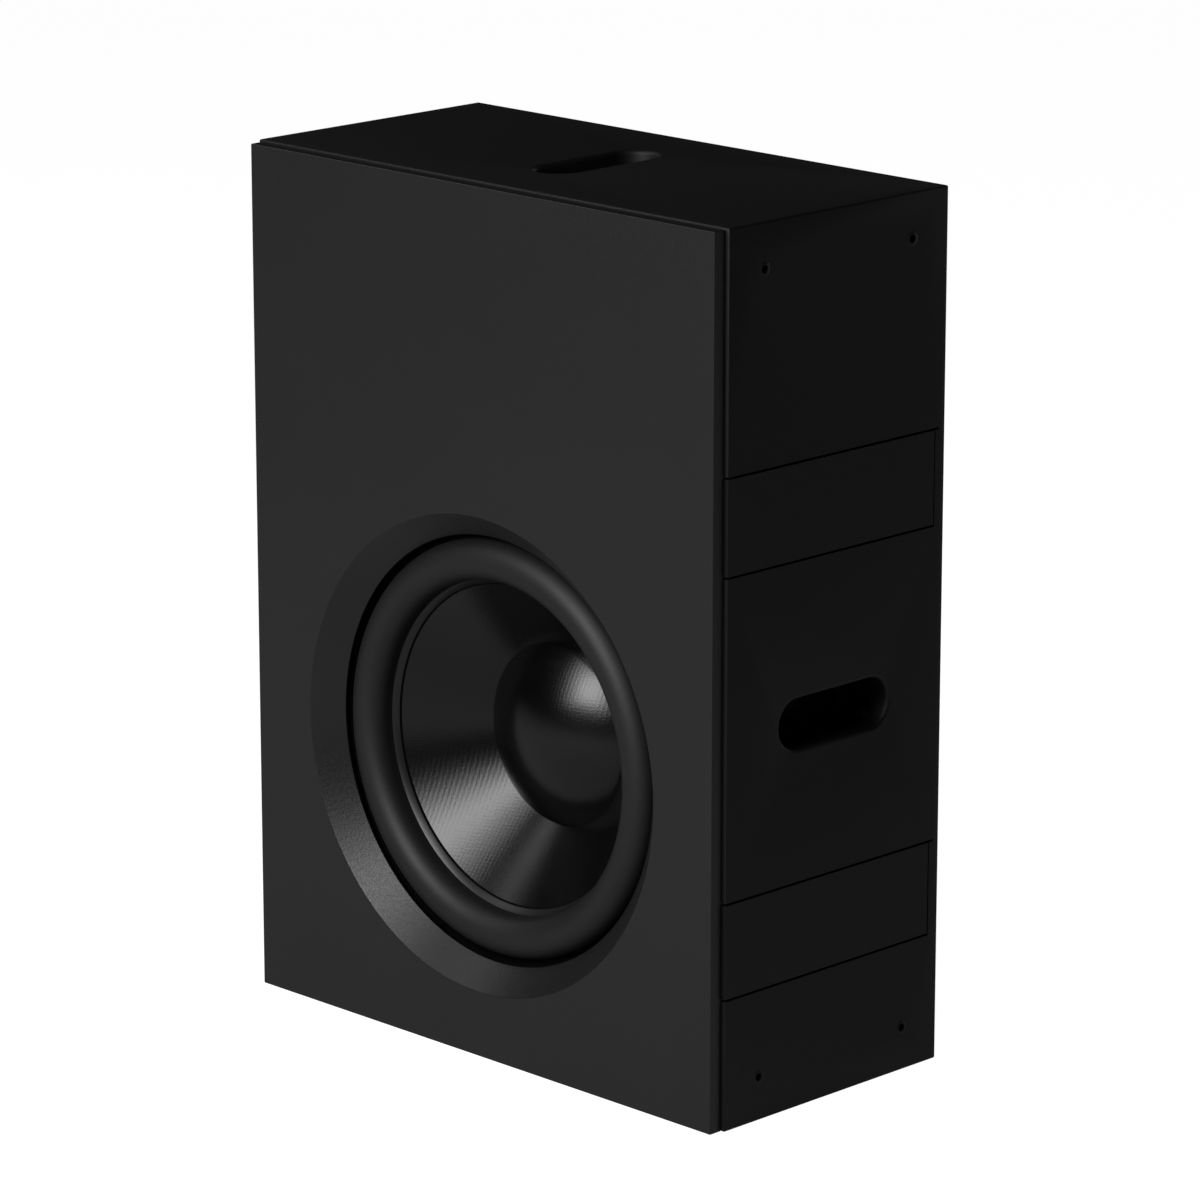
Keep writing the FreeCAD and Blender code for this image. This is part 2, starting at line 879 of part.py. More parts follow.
def connector_socket(name, height):
    # four-pole locking socket: a flange, a round shell with two locking notches, and a keyed core
    body = new_body(f"connector_socket_{name}")
    flange = sketch_on(body, "XZ_Plane", PLATE_FACE)
    rounded(flange, "0", height, "jack_width", "jack_height", "3")
    pad(body, flange, "jack_flange", True)
    shell = sketch_on(body, "XZ_Plane", PLATE_FACE)
    circle(shell, "0", height, "jack_radius")
    pad(body, shell, "jack_length")
    gap = sketch_on(body, "XZ_Plane", f"{PLATE_FACE} + jack_flange")
    rings(gap, [("0", height)], "jack_bore", "jack_core")
    pocket(body, gap, "jack_gap", True)
    notches = sketch_on(body, "XZ_Plane", f"{PLATE_FACE} + jack_flange")
    rectangle(notches, "-1.5", "1.5", f"{height} + jack_core - 1.5", f"{height} + jack_bore + 0.8")
    pocket(body, notches, "jack_gap - 4", True)
    return body


def tube(label, points, radius, x):
    # a lead in the plane at x: straight runs joined by tangent arcs, each as large as its runs allow
    corners = [FreeCAD.Vector(value(x), value(y), value(z)) for y, z in points]
    edges = []
    reached = corners[0]
    for before, corner, after in zip(corners, corners[1:], corners[2:]):
        back, onward = (before - corner), (after - corner)
        reach = 0.45 * min(back.Length, onward.Length)
        turn = math.pi - back.getAngle(onward)
        bend = reach / math.tan(turn / 2)
        print(f"{label}: bend radius {bend:.1f} mm")
        back.normalize()
        onward.normalize()
        start, end = corner + back * reach, corner + onward * reach
        to_middle = (back + onward).normalize() * (bend / math.cos(turn / 2) - bend)
        edges.append(Part.LineSegment(reached, start).toShape())
        edges.append(Part.Arc(start, corner + to_middle, end).toShape())
        reached = end
    edges.append(Part.LineSegment(reached, corners[-1]).toShape())
    path = Part.Wire(edges)
    r = value(radius)
    ring = Part.Wire(Part.makeCircle(r, corners[0], corners[1] - corners[0]))
    solid = path.makePipeShell([ring], True, True)
    expected = math.pi * r * r * path.Length
    if abs(solid.Volume - expected) > 0.01 * expected:
        raise RuntimeError(f"{label}: {solid.Volume:.0f} mm3, not {expected:.0f}")
    made = doc.addObject("Part::Feature", "Lead")
    made.Label = label
    made.Shape = solid
    made.Placement = FreeCAD.Placement(
        FreeCAD.Vector(0, value("lip_depth / 2 - carcass_depth / 2"), 0), FreeCAD.Rotation()
    )
    parts.append(made)
    return made


JACK_BACK = "carcass_depth - recess_depth + connector_plate - jack_length"
TERMINAL_TOP = "driver_height + terminal_boss + terminal_board + terminal_block"


def driver_lead():
    # from the upper socket forward, down through the lower brace's window, to the driver's terminals
    down = "window_rear - 25"
    end = "terminal_depth"
    return tube(
        "driver_lead",
        [
            (JACK_BACK, SOCKETS["upper"]),
            (f"{down} + 38.2", SOCKETS["upper"]),
            (f"{down} + 14", f"{SOCKETS['upper']} - 14"),
            (down, f"{SOCKETS['upper']} - 38.2"),
            (down, f"{TERMINAL_TOP} + 78"),
            (end, f"{TERMINAL_TOP} + 33"),
            (end, TERMINAL_TOP),
        ],
        "lead_radius",
        "-lead_offset",
    )


def link_lead():
    # joins the two sockets
    high, low = SOCKETS["upper"], SOCKETS["lower"]
    back = JACK_BACK
    return tube(
        "link_lead",
        [
            (back, high),
            (f"{back} - 17", high),
            (f"{back} - 32", f"{high} - 15"),
            (f"{back} - 32", f"{low} + 15"),
            (f"{back} - 17", low),
            (back, low),
        ],
        "link_radius",
        "lead_offset + 1",
    )


# Driver

FLANGE_BACK = "frame_front + frame_flange"


def along_cone(radius, step="0"):
    # depth of the cone's front face at a radius
    return f"cone_depth + (lip_inner - ({radius})) * cone_slope + {step}"


def driver_frame():
    # cast basket: flange, tapering wall cut into spokes, spider landing, floor seated on the magnet
    wall_outer = "cutout_radius - basket_gap"
    knee_outer = f"{wall_outer} - basket_draft"
    knee = f"{FLANGE_BACK} + basket_knee"
    body = revolved(
        "driver_frame",
        [
            ("frame_radius", "frame_front"),
            ("frame_radius", FLANGE_BACK),
            (wall_outer, FLANGE_BACK),
            (knee_outer, knee),
            ("spider_outer + 9", "landing - 12"),
            ("spider_outer + 7", "landing"),
            ("spider_outer + 4", "basket_floor"),
            ("top_plate_radius + 4", "top_plate_front"),
            ("magnet_bore", "top_plate_front"),
            ("magnet_bore", "basket_floor"),
            ("spider_outer - 10", "basket_floor"),
            ("spider_outer - 8", "landing"),
            ("spider_outer + 1", "landing"),
            ("spider_outer + 2", "landing - 11"),
            (f"{knee_outer} - basket_wall", f"{knee} - 2"),
            (f"{wall_outer} - basket_wall", FLANGE_BACK),
            (wall_outer, "frame_front"),
        ],
    )
    # windows between the spokes, cut along the axis
    windows = sketch_on(body, "XY_Plane", "landing")
    inner, outer = "(spider_outer + 12)", f"({knee_outer} - basket_wall)"
    middle = BOLT_STEP / 2
    low, high = f"({middle} - window_angle / 2)", f"({middle} + window_angle / 2)"
    outline(
        windows,
        [
            (f"{outer} * cos({low})", f"{outer} * sin({low})"),
            (f"{outer} * cos({high})", f"{outer} * sin({high})", "0", "0", 1),
            (f"{inner} * cos({high})", f"{inner} * sin({high})"),
            (f"{inner} * cos({low})", f"{inner} * sin({low})", "0", "0", -1),
        ],
    )
    window = pocket(body, windows)
    repeat_round(body, window, "bolt_count")
    # a rib stands out along every spoke
    ribs = sketch_on(body, "XZ_Plane", "-rib_thickness / 2")
    outline(
        ribs,
        [
            (f"{wall_outer} - basket_wall", f"{knee} - 10"),
            (f"{wall_outer} - 2", f"{knee} - 12"),
            ("spider_outer + 17", "landing - 8"),
            ("spider_outer + 7", "landing + 6"),
            ("spider_outer + 5", "landing + 4"),
            ("spider_outer + 7", "landing - 14"),
        ],
    )
    rib = pad(body, ribs, "rib_thickness", True)
    repeat_round(body, rib, "bolt_count")
    # flat seat for the terminal board, on top
    boss = sketch_on(body, "XY_Plane", "landing + 4")
    rectangle(boss, "-terminal_half", "terminal_half", "-terminal_boss", "-spider_outer")
    pad(body, boss, "basket_floor + 6 - landing - 4")
    holes = sketch_on(body, "XY_Plane", FLANGE_BACK)
    rings(holes, BOLTS, "bolt_clearance")
    pocket(body, holes)
    return body


def frame_gasket():
    # outer ring on the flange, scalloped round the screw heads
    front = "frame_front - gasket_height"
    body = revolved(
        "frame_gasket",
        [
            ("gasket_inner", front),
            ("frame_radius", front),
            ("frame_radius", "frame_front"),
            ("gasket_inner", "frame_front"),
        ],
    )
    scallops = sketch_on(body, "XY_Plane", front)
    rings(scallops, BOLTS, "bolt_head_radius + 0.5")
    pocket(body, scallops, None, True)
    return body


def frame_seal():
    body = driver_body("frame_seal")
    ring = sketch_on(body, "XY_Plane", FLANGE_BACK)
    rings(ring, [("0", "0")], "frame_radius", "cutout_radius")
    rings(ring, BOLTS, "bolt_clearance")
    pad(body, ring, "frame_seal")
    return body


def driver_screws():
    body = driver_body("driver_screws")
    head = "bolt_head_radius"
    pegs(body, "XY_Plane", "frame_front", BOLTS, head, "bolt_head_height", True)
    pegs(body, "XY_Plane", "frame_front", BOLTS, "bolt_radius", "bolt_length")
    keys = sketch_on(body, "XY_Plane", "frame_front - bolt_head_height")
    rings(keys, BOLTS, "bolt_head_radius / 2")
    pocket(body, keys, "bolt_head_height / 2", True)
    return body


def driver_nuts():
    # flanged nuts in the back of the baffle
    body = driver_body("driver_nuts")
    back = "boss_depth + baffle_thickness"
    bore = "bolt_radius"
    pegs(body, "XY_Plane", back, BOLTS, ("nut_radius", bore), "nut_barrel", True)
    pegs(body, "XY_Plane", back, BOLTS, ("nut_flange_radius", bore), "nut_flange")
    return body


def surround():
    # rubber half roll between the frame's lip and the cone's rim
    inner_lip = "lip_inner + lip_width"
    outer_end = "roll_centre + sqrt(roll_radius ^ 2 - (roll_depth - frame_front + rubber) ^ 2)"
    inner_end = "roll_centre + sqrt((roll_radius - rubber) ^ 2 - (frame_front - roll_depth) ^ 2)"
    return revolved(
        "surround",
        [
            ("gasket_inner", "frame_front - rubber"),
            (outer_end, "frame_front - rubber"),
            ("roll_centre - roll_radius", "roll_depth", "roll_centre", "roll_depth", -1),
            (inner_lip, along_cone(inner_lip, "-lip_thickness")),
            ("lip_inner", along_cone("lip_inner", "-lip_thickness")),
            ("lip_inner", along_cone("lip_inner")),
            ("cone_edge", along_cone("cone_edge")),
            ("roll_centre - roll_radius + rubber", "roll_depth"),
            (inner_end, "frame_front", "roll_centre", "roll_depth", 1),
            ("gasket_inner", "frame_front"),
        ],
    )


def cone():
    return revolved(
        "cone",
        [
            ("cone_edge", along_cone("cone_edge")),
            ("cone_edge", along_cone("cone_edge", "cone_skin")),
            ("former_outer", along_cone("former_outer", "cone_skin")),
            ("former_outer", along_cone("former_outer")),
        ],
    )


def dust_cap():
    # one dome from rim to rim, its edge bevelled to sit on the cone
    edge, edge_depth = "(cap_radius - 0.6)", along_cone("cap_radius", "-0.7")
    back_edge = "(cap_radius - 4)"
    rise = f"({edge_depth} - cap_apex_depth)"
    sphere = f"(({edge} ^ 2 + {rise} ^ 2) / (2 * {rise}))"
    centre = f"cap_apex_depth + {sphere}"
    back_depth = f"{centre} + cap_skin - sqrt({sphere} ^ 2 - {back_edge} ^ 2)"
    return revolved(
        "dust_cap",
        [
            ("cap_radius", along_cone("cap_radius")),
            ("cap_radius - 2", along_cone("cap_radius - 2")),
            (back_edge, back_depth),
            ("0", "cap_apex_depth + cap_skin", "0", f"{centre} + cap_skin", -1),
            ("0", "cap_apex_depth"),
            (edge, edge_depth, "0", centre, 1),
        ],
    )


def ring(label, inner, outer, front, back):
    return revolved(label, [(inner, front), (outer, front), (outer, back), (inner, back)])


def spider():
    # rippled cloth that centres the coil, glued to the frame's landing and to the former
    ripples = 8
    points = [("spider_outer", "landing - spider_cloth"), ("spider_outer - 9", "landing - spider_cloth")]
    for i in range(ripples):
        radius = f"spider_outer - 9 - (spider_outer - 9 - spider_collar) * {(i + 0.5) / ripples}"
        side = "-" if i % 2 else "+"
        points.append((radius, f"landing - spider_cloth {side} spider_ripple / 2"))
    points.append(("spider_collar", "landing - spider_cloth"))
    points.append(("spider_collar", "landing - spider_rise"))
    points.append(("former_outer", "landing - spider_rise"))
    points.append(("former_outer", "landing"))
    points.append(("spider_collar", "landing"))
    back = [(r, f"{depth} + spider_cloth") for r, depth in points[1 : ripples + 2]]
    return revolved("spider", points + back[::-1] + [("spider_outer", "landing")])


def yoke():
    # back plate and pole in one forging, vented through the middle
    return revolved(
        "yoke",
        [
            ("vent_radius", "top_plate_front"),
            ("pole_radius", "top_plate_front"),
            ("pole_radius", MAGNET_BACK),
            ("yoke_radius", MAGNET_BACK),
            ("yoke_radius", f"{MAGNET_BACK} + yoke_thickness - 3"),
            ("yoke_radius - 3", f"{MAGNET_BACK} + yoke_thickness"),
            ("vent_radius + 6", f"{MAGNET_BACK} + yoke_thickness"),
            ("vent_radius", f"{MAGNET_BACK} + yoke_thickness - 6"),
        ],
    )


TOP_PLATE_BACK = "top_plate_front + top_plate_thickness"
MAGNET_BACK = f"{TOP_PLATE_BACK} + magnet_length"


def terminal_board():
    # board on the frame's seat, with the lead's block between two push-on tabs
    body = driver_body("terminal_board")
    front, back = "terminal_depth - 8", "basket_floor + 6"
    top = "terminal_boss + terminal_board"
    board = sketch_on(body, "XY_Plane", front)
    rectangle(board, "-terminal_half", "terminal_half", f"-({top})", "-terminal_boss")
    pad(body, board, f"{back} - ({front})")
    block = sketch_on(body, "XY_Plane", "terminal_depth - 6")
    rectangle(
        block, "-lead_offset - 7", "-lead_offset + 7", f"-({top}) - terminal_block", f"-({top})"
    )
    pad(body, block, "12")
    tabs = sketch_on(body, "XY_Plane", "terminal_depth - 3")
    for x in ("-terminal_half + 4", "terminal_half - 6"):
        rectangle(tabs, x, f"{x} + 0.8", f"-({top}) - 11", f"-({top})")
    pad(body, tabs, "6.3")
    return body


# The whole cabinet

for name, side in (("right", 1), ("left", -1)):
    side_panel(f"side_panel_{name}", side)
    side_inserts(f"side_inserts_{name}", side)
    for level, height in (("lower", "strip_low"), ("upper", "strip_high")):
        infill_strip(f"infill_strip_{name}_{level}", side, height)
    inner = f"{side} * (cabinet_width / 2 - wall)"
    depths = ("felt_side_front", "felt_side_rear")
    heights = ("felt_side_low", "felt_side_high")
    felt_board(f"damping_felt_{name}", "YZ_Plane", inner, depths, heights, side > 0)
deck_panel("top_panel", True)
deck_panel("bottom_panel", False)
rear_panel()
front_plate()
sub_baffle()
brace("brace_lower", "brace_low")
brace("brace_upper", "brace_high")
felt_board(
    "damping_felt_rear",
    "XZ_Plane",
    "carcass_depth - wall",
    ("-felt_rear_half", "felt_rear_half"),
    ("felt_rear_low", "felt_rear_high"),
    False,
)
for name, place, rotation in CUP_PLACES:
    handle_cup(name, place, rotation)
    cup_screws(name, place, rotation)
plate_studs()
stud_sockets()
connector_plate()
connector_screws()
for name, height in SOCKETS.items():
    connector_socket(name, height)
driver_lead()
link_lead()
driver_frame()
frame_gasket()
frame_seal()
driver_screws()
driver_nuts()
surround()
cone()
dust_cap()
ring("coil_former", "coil_bore", "former_outer", "former_front", "winding_front + winding_length")
ring("coil_winding", "former_outer", "winding_outer", "winding_front", "winding_front + winding_length")
spider()
ring("top_plate", "top_plate_bore", "top_plate_radius", "top_plate_front", TOP_PLATE_BACK)
ring("magnet", "magnet_bore", "magnet_radius", TOP_PLATE_BACK, MAGNET_BACK)
yoke()
terminal_board()

doc.recompute()
for item in doc.Objects:
    if "Invalid" in item.State or "Error" in item.State:
        raise RuntimeError(f"{item.Label} ({item.Name}) is {item.State}")
for item in parts:
    if item.Shape.isNull() or not item.Shape.isValid() or not item.Shape.Solids:
        raise RuntimeError(f"{item.Label} has no valid solid")

os.makedirs("parts", exist_ok=True)
for item in parts:
    item.Shape.exportStep(f"parts/{item.Label}.step")
print(f"{len(parts)} nodes, {sum(len(item.Shape.Solids) for item in parts)} solids")
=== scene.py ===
import bpy
import bmesh
import math
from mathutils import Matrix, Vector
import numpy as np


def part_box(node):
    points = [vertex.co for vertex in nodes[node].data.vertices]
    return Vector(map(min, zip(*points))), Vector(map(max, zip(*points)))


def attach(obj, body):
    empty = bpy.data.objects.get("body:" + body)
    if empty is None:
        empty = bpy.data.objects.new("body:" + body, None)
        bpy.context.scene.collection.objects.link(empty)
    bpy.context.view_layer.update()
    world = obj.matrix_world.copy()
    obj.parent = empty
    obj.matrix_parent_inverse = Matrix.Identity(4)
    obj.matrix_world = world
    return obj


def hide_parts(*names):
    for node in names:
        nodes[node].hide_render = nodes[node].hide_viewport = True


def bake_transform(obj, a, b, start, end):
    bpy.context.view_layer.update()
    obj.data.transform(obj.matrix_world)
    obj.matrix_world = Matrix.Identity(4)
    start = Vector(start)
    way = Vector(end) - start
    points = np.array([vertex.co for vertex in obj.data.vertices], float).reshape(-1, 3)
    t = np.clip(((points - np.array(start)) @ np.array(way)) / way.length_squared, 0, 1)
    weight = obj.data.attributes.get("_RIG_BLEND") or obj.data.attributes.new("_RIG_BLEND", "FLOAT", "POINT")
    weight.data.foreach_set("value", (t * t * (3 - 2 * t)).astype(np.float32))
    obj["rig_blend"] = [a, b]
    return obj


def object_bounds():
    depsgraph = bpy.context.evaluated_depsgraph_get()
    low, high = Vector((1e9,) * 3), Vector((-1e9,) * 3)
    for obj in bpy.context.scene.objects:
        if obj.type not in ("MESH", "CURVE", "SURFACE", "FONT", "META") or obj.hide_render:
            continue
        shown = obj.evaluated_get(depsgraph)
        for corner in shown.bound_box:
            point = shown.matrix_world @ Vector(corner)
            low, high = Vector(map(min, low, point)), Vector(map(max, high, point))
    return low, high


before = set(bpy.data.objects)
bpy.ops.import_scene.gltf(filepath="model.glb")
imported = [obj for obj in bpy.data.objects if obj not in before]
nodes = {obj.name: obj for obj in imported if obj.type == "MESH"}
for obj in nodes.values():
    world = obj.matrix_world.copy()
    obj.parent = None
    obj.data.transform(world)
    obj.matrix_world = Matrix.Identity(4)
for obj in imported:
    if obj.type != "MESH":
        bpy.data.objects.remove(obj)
cadLow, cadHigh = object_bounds()
print("frame loaded:", len(nodes), "parts")

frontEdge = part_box("side_panel_right")[0].y  # front edge of the carcass
axisZ = (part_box("cone")[0].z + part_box("cone")[1].z) / 2  # height of the driver's axis


def startClean():
    if bpy.context.mode != "OBJECT":
        bpy.ops.object.mode_set(mode="OBJECT")
    bpy.ops.object.select_all(action="DESELECT")


def settle(name):
    # the new primitive becomes a named piece at the origin, with its place in its mesh
    bpy.ops.object.transform_apply(location=True, rotation=True, scale=True)
    piece = bpy.context.object
    piece.name = name
    piece.data.name = name
    return piece


def addBlock(name, low, high):
    startClean()
    middle = [(a + b) / 2 for a, b in zip(low, high)]
    bpy.ops.mesh.primitive_cube_add(
        size=1, location=middle, scale=[b - a for a, b in zip(low, high)]
    )
    return settle(name)


def pick(kind, test):
    # selects the faces, edges or points whose middle passes the test
    bpy.ops.mesh.select_mode(type=kind)
    bpy.ops.mesh.select_all(action="DESELECT")
    data = bpy.context.object.data
    mesh = bmesh.from_edit_mesh(data)
    parts = {"FACE": mesh.faces, "EDGE": mesh.edges, "VERT": mesh.verts}[kind]
    for part in parts:
        points = [part.co] if kind == "VERT" else [corner.co for corner in part.verts]
        if test(sum(points, Vector()) / len(points), part):
            part.select_set(True)
    mesh.select_flush_mode()
    bmesh.update_edit_mesh(data)


def near(a, b, slack=0.0001):
    return abs(a - b) < slack


def radiusOf(point):
    # distance from the driver's axis
    return math.hypot(point.x, point.z - axisZ)


def carve(piece, *cutters):
    # takes the cutters out of the piece
    for cutter in cutters:
        startClean()
        piece.select_set(True)
        bpy.context.view_layer.objects.active = piece
        cut = piece.modifiers.new("cut", "BOOLEAN")
        cut.object = cutter
        cut.solver = "EXACT"
        bpy.ops.object.modifier_apply(modifier=cut.name)
        bpy.data.objects.remove(cutter, do_unlink=True)


def cleanMesh(piece):
    startClean()
    piece.select_set(True)
    bpy.context.view_layer.objects.active = piece
    bpy.ops.object.mode_set(mode="EDIT")
    bpy.ops.mesh.select_all(action="SELECT")
    bpy.ops.mesh.remove_doubles(threshold=0.00001)
    bpy.ops.mesh.normals_make_consistent(inside=False)
    bpy.ops.object.mode_set(mode="OBJECT")


def softenEdges(piece, width, segments=2, angle=30):
    edge = piece.modifiers.new("edge", "BEVEL")
    edge.width = width
    edge.segments = segments
    edge.limit_method = "ANGLE"
    edge.angle_limit = math.radians(angle)
    edge.harden_normals = True
    bpy.ops.object.modifier_apply(modifier=edge.name)


def thickenBehind(piece, wall):
    # a sheet becomes a wall that lies behind its front face
    facing = sum(face.normal.y * face.area for face in piece.data.polygons)
    skin = piece.modifiers.new("wall", "SOLIDIFY")
    skin.thickness = wall
    skin.offset = -1 if facing < 0 else 1
    skin.use_even_offset = True
    bpy.ops.object.modifier_apply(modifier=skin.name)
    cleanMesh(piece)


def smooth(piece, angle=30):
    startClean()
    piece.select_set(True)
    bpy.context.view_layer.objects.active = piece
    bpy.ops.object.shade_smooth_by_angle(angle=math.radians(angle))


def finishPiece(piece, slotName, body, *replaced):
    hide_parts(*replaced)
    if body:
        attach(piece, body)
    piece.data.materials.clear()
    piece.data.materials.append(finishes[slotName])
    return piece


def paintFaces(piece, material, test):
    # gives the faces that pass the test a finish of their own
    piece.data.materials.append(material)
    for face in piece.data.polygons:
        if test(face):
            face.material_index = len(piece.data.materials) - 1


def smoothCopy(nodeName, slotName, body="cabinet", angle=35):
    # a CAD part's own shape with its facets joined and its curves shaded smooth
    startClean()
    piece = nodes[nodeName].copy()
    piece.data = nodes[nodeName].data.copy()
    piece.name = nodeName + "_smooth"
    piece.parent = None
    piece.matrix_world = nodes[nodeName].matrix_world.copy()
    for key in list(piece.keys()):
        del piece[key]
    bpy.context.collection.objects.link(piece)
    cleanMesh(piece)
    smooth(piece, angle)
    return finishPiece(piece, slotName, body, nodeName)


def linear(hexText):
    channels = [int(hexText[i : i + 2], 16) / 255 for i in (1, 3, 5)]
    return [c / 12.92 if c <= 0.04045 else ((c + 0.055) / 1.055) ** 2.4 for c in channels] + [1.0]


def addNode(tree, kind, settings=None, links=None):
    node = tree.nodes.new(kind)
    for key, value in (settings or {}).items():
        if isinstance(key, str) and hasattr(node, key):
            setattr(node, key, value)
        else:
            node.inputs[key].default_value = value
    for socket, source in (links or {}).items():
        tree.links.new(source, node.inputs[socket])
    return node


def startMaterial(name):
    material = bpy.data.materials.new(name)
    material.use_nodes = True
    tree = material.node_tree
    tree.nodes.clear()
    place = addNode(tree, "ShaderNodeTexCoord").outputs["Object"]
    return material, tree, place


def finishMaterial(tree, surface, links):
    shader = addNode(tree, "ShaderNodeBsdfPrincipled", surface, links)
    addNode(tree, "ShaderNodeOutputMaterial", None, {"Surface": shader.outputs["BSDF"]})


def speckled(name, values):
    # a sprayed, moulded or cast surface: colour and gloss drift a little over a fine raised grit
    material, tree, place = startMaterial(name)
    drift = addNode(
        tree,
        "ShaderNodeTexNoise",
        {"Scale": 1 / values["drift"], "Detail": 3.0},
        {"Vector": place},
    )
    colour = addNode(
        tree,
        "ShaderNodeMix",
        {"data_type": "RGBA", 6: linear(values["dark"]), 7: linear(values["light"])},
        {0: drift.outputs["Fac"]},
    )
    grit = addNode(
        tree,
        "ShaderNodeTexNoise",
        {"Scale": 1 / values["grit"], "Detail": 4.0, "Roughness": 0.6},
        {"Vector": place},
    )
    gloss = addNode(
        tree,
        "ShaderNodeMapRange",
        {1: 0.3, 2: 0.7, 3: values["smoothest"], 4: values["roughest"]},
        {0: grit.outputs["Fac"]},
    )
    relief = addNode(
        tree,
        "ShaderNodeBump",
        {"Strength": values["reliefStrength"], "Distance": values["relief"]},
        {"Height": grit.outputs["Fac"]},
    )
    finishMaterial(
        tree,
        {"IOR": values["ior"], "Metallic": values.get("metallic", 0.0)}
        | {"Specular IOR Level": values.get("sheenLevel", 0.5)},
        {
            "Base Color": colour.outputs[2],
            "Roughness": gloss.outputs[0],
            "Normal": relief.outputs["Normal"],
        },
    )
    return material


# water-based black cabinet paint on plywood: dead matt. Its colour is set darker than the front paint's as
# painted shade, for the dim light on the top and sides, so the boards stay nearly black
boardPaint = {
    "dark": "#080808",
    "light": "#0b0b0b",
    "drift": 0.12,
    "grit": 0.0012,
    "smoothest": 0.52,
    "roughest": 0.66,
    "relief": 0.00004,
    "reliefStrength": 0.5,
    "ior": 1.5,
    "sheenLevel": 0.42,
}

# the same paint sprayed as a finer coat on the front: a satin face that takes a soft, grainy shine. Its
# colour is set lighter than the boards' as painted light, for the light that falls on the front
frontPaint = {
    "dark": "#1a1a1a",
    "light": "#202020",
    "drift": 0.15,
    "grit": 0.002,
    "smoothest": 0.3,
    "roughest": 0.44,
    "relief": 0.00018,
    "reliefStrength": 0.6,
    "ior": 1.5,
}

# moulded black ABS: even, with a faint spark-eroded grain
mouldedPlastic = {
    "dark": "#0c0c0c",
    "light": "#101010",
    "drift": 0.05,
    "grit": 0.0008,
    "smoothest": 0.42,
    "roughest": 0.56,
    "relief": 0.00004,
    "reliefStrength": 0.5,
    "ior": 1.54,
}

# bright zinc plating on steel: pale metal, slightly clouded
zincPlate = {
    "dark": "#8f9296",
    "light": "#b4b7ba",
    "drift": 0.01,
    "grit": 0.0006,
    "smoothest": 0.28,
    "roughest": 0.42,
    "relief": 0.00001,
    "reliefStrength": 0.4,
    "ior": 1.5,
    "metallic": 1.0,
}

# oil-blackened steel: dark metal with a dull shine
blackSteel = {
    "dark": "#1c1c1d",
    "light": "#2a2a2b",
    "drift": 0.008,
    "grit": 0.0007,
    "smoothest": 0.34,
    "roughest": 0.5,
    "relief": 0.00001,
    "reliefStrength": 0.4,
    "ior": 1.5,
    "metallic": 1.0,
}

# die-cast aluminium under black powder: orange-peel skin
castFrame = {
    "dark": "#121212",
    "light": "#181818",
    "drift": 0.04,
    "grit": 0.0016,
    "smoothest": 0.4,
    "roughest": 0.55,
    "relief": 0.00008,
    "reliefStrength": 0.6,
    "ior": 1.5,
}

# butyl rubber: soft broad shine, a little bloom on the surface
rubberSkin = {
    "dark": "#121212",
    "light": "#171717",
    "drift": 0.05,
    "grit": 0.0009,
    "smoothest": 0.5,
    "roughest": 0.6,
    "relief": 0.00002,
    "reliefStrength": 0.4,
    "ior": 1.52,
}

# the same rubber pressed flat where it is glued: smoother and a little shinier
gluedLip = rubberSkin | {"smoothest": 0.32, "roughest": 0.4}

# closed-cell foam tape: swallows nearly all light. The same near-black also serves as painted shade on the
# front plate's land, the surround's outer lip and the bead under the lip's edge
foamAndPaintedShade = {
    "dark": "#030303",
    "light": "#060606",
    "drift": 0.02,
    "grit": 0.0008,
    "smoothest": 0.9,
    "roughest": 1.0,
    "relief": 0.0001,
    "reliefStrength": 0.5,
    "ior": 1.45,
    "sheenLevel": 0.1,
}

# PVC sheath: smooth black plastic
leadSheath = {
    "dark": "#101010",
    "light": "#151515",
    "drift": 0.03,
    "grit": 0.0008,
    "smoothest": 0.38,
    "roughest": 0.46,
    "relief": 0.00001,
    "reliefStrength": 0.3,
    "ior": 1.53,
}

# sintered ferrite: charcoal grey stone, ground flat
ferriteBlock = {
    "dark": "#202124",
    "light": "#2c2d30",
    "drift": 0.02,
    "grit": 0.0007,
    "smoothest": 0.5,
    "roughest": 0.7,
    "relief": 0.00003,
    "reliefStrength": 0.5,
    "ior": 1.6,
}


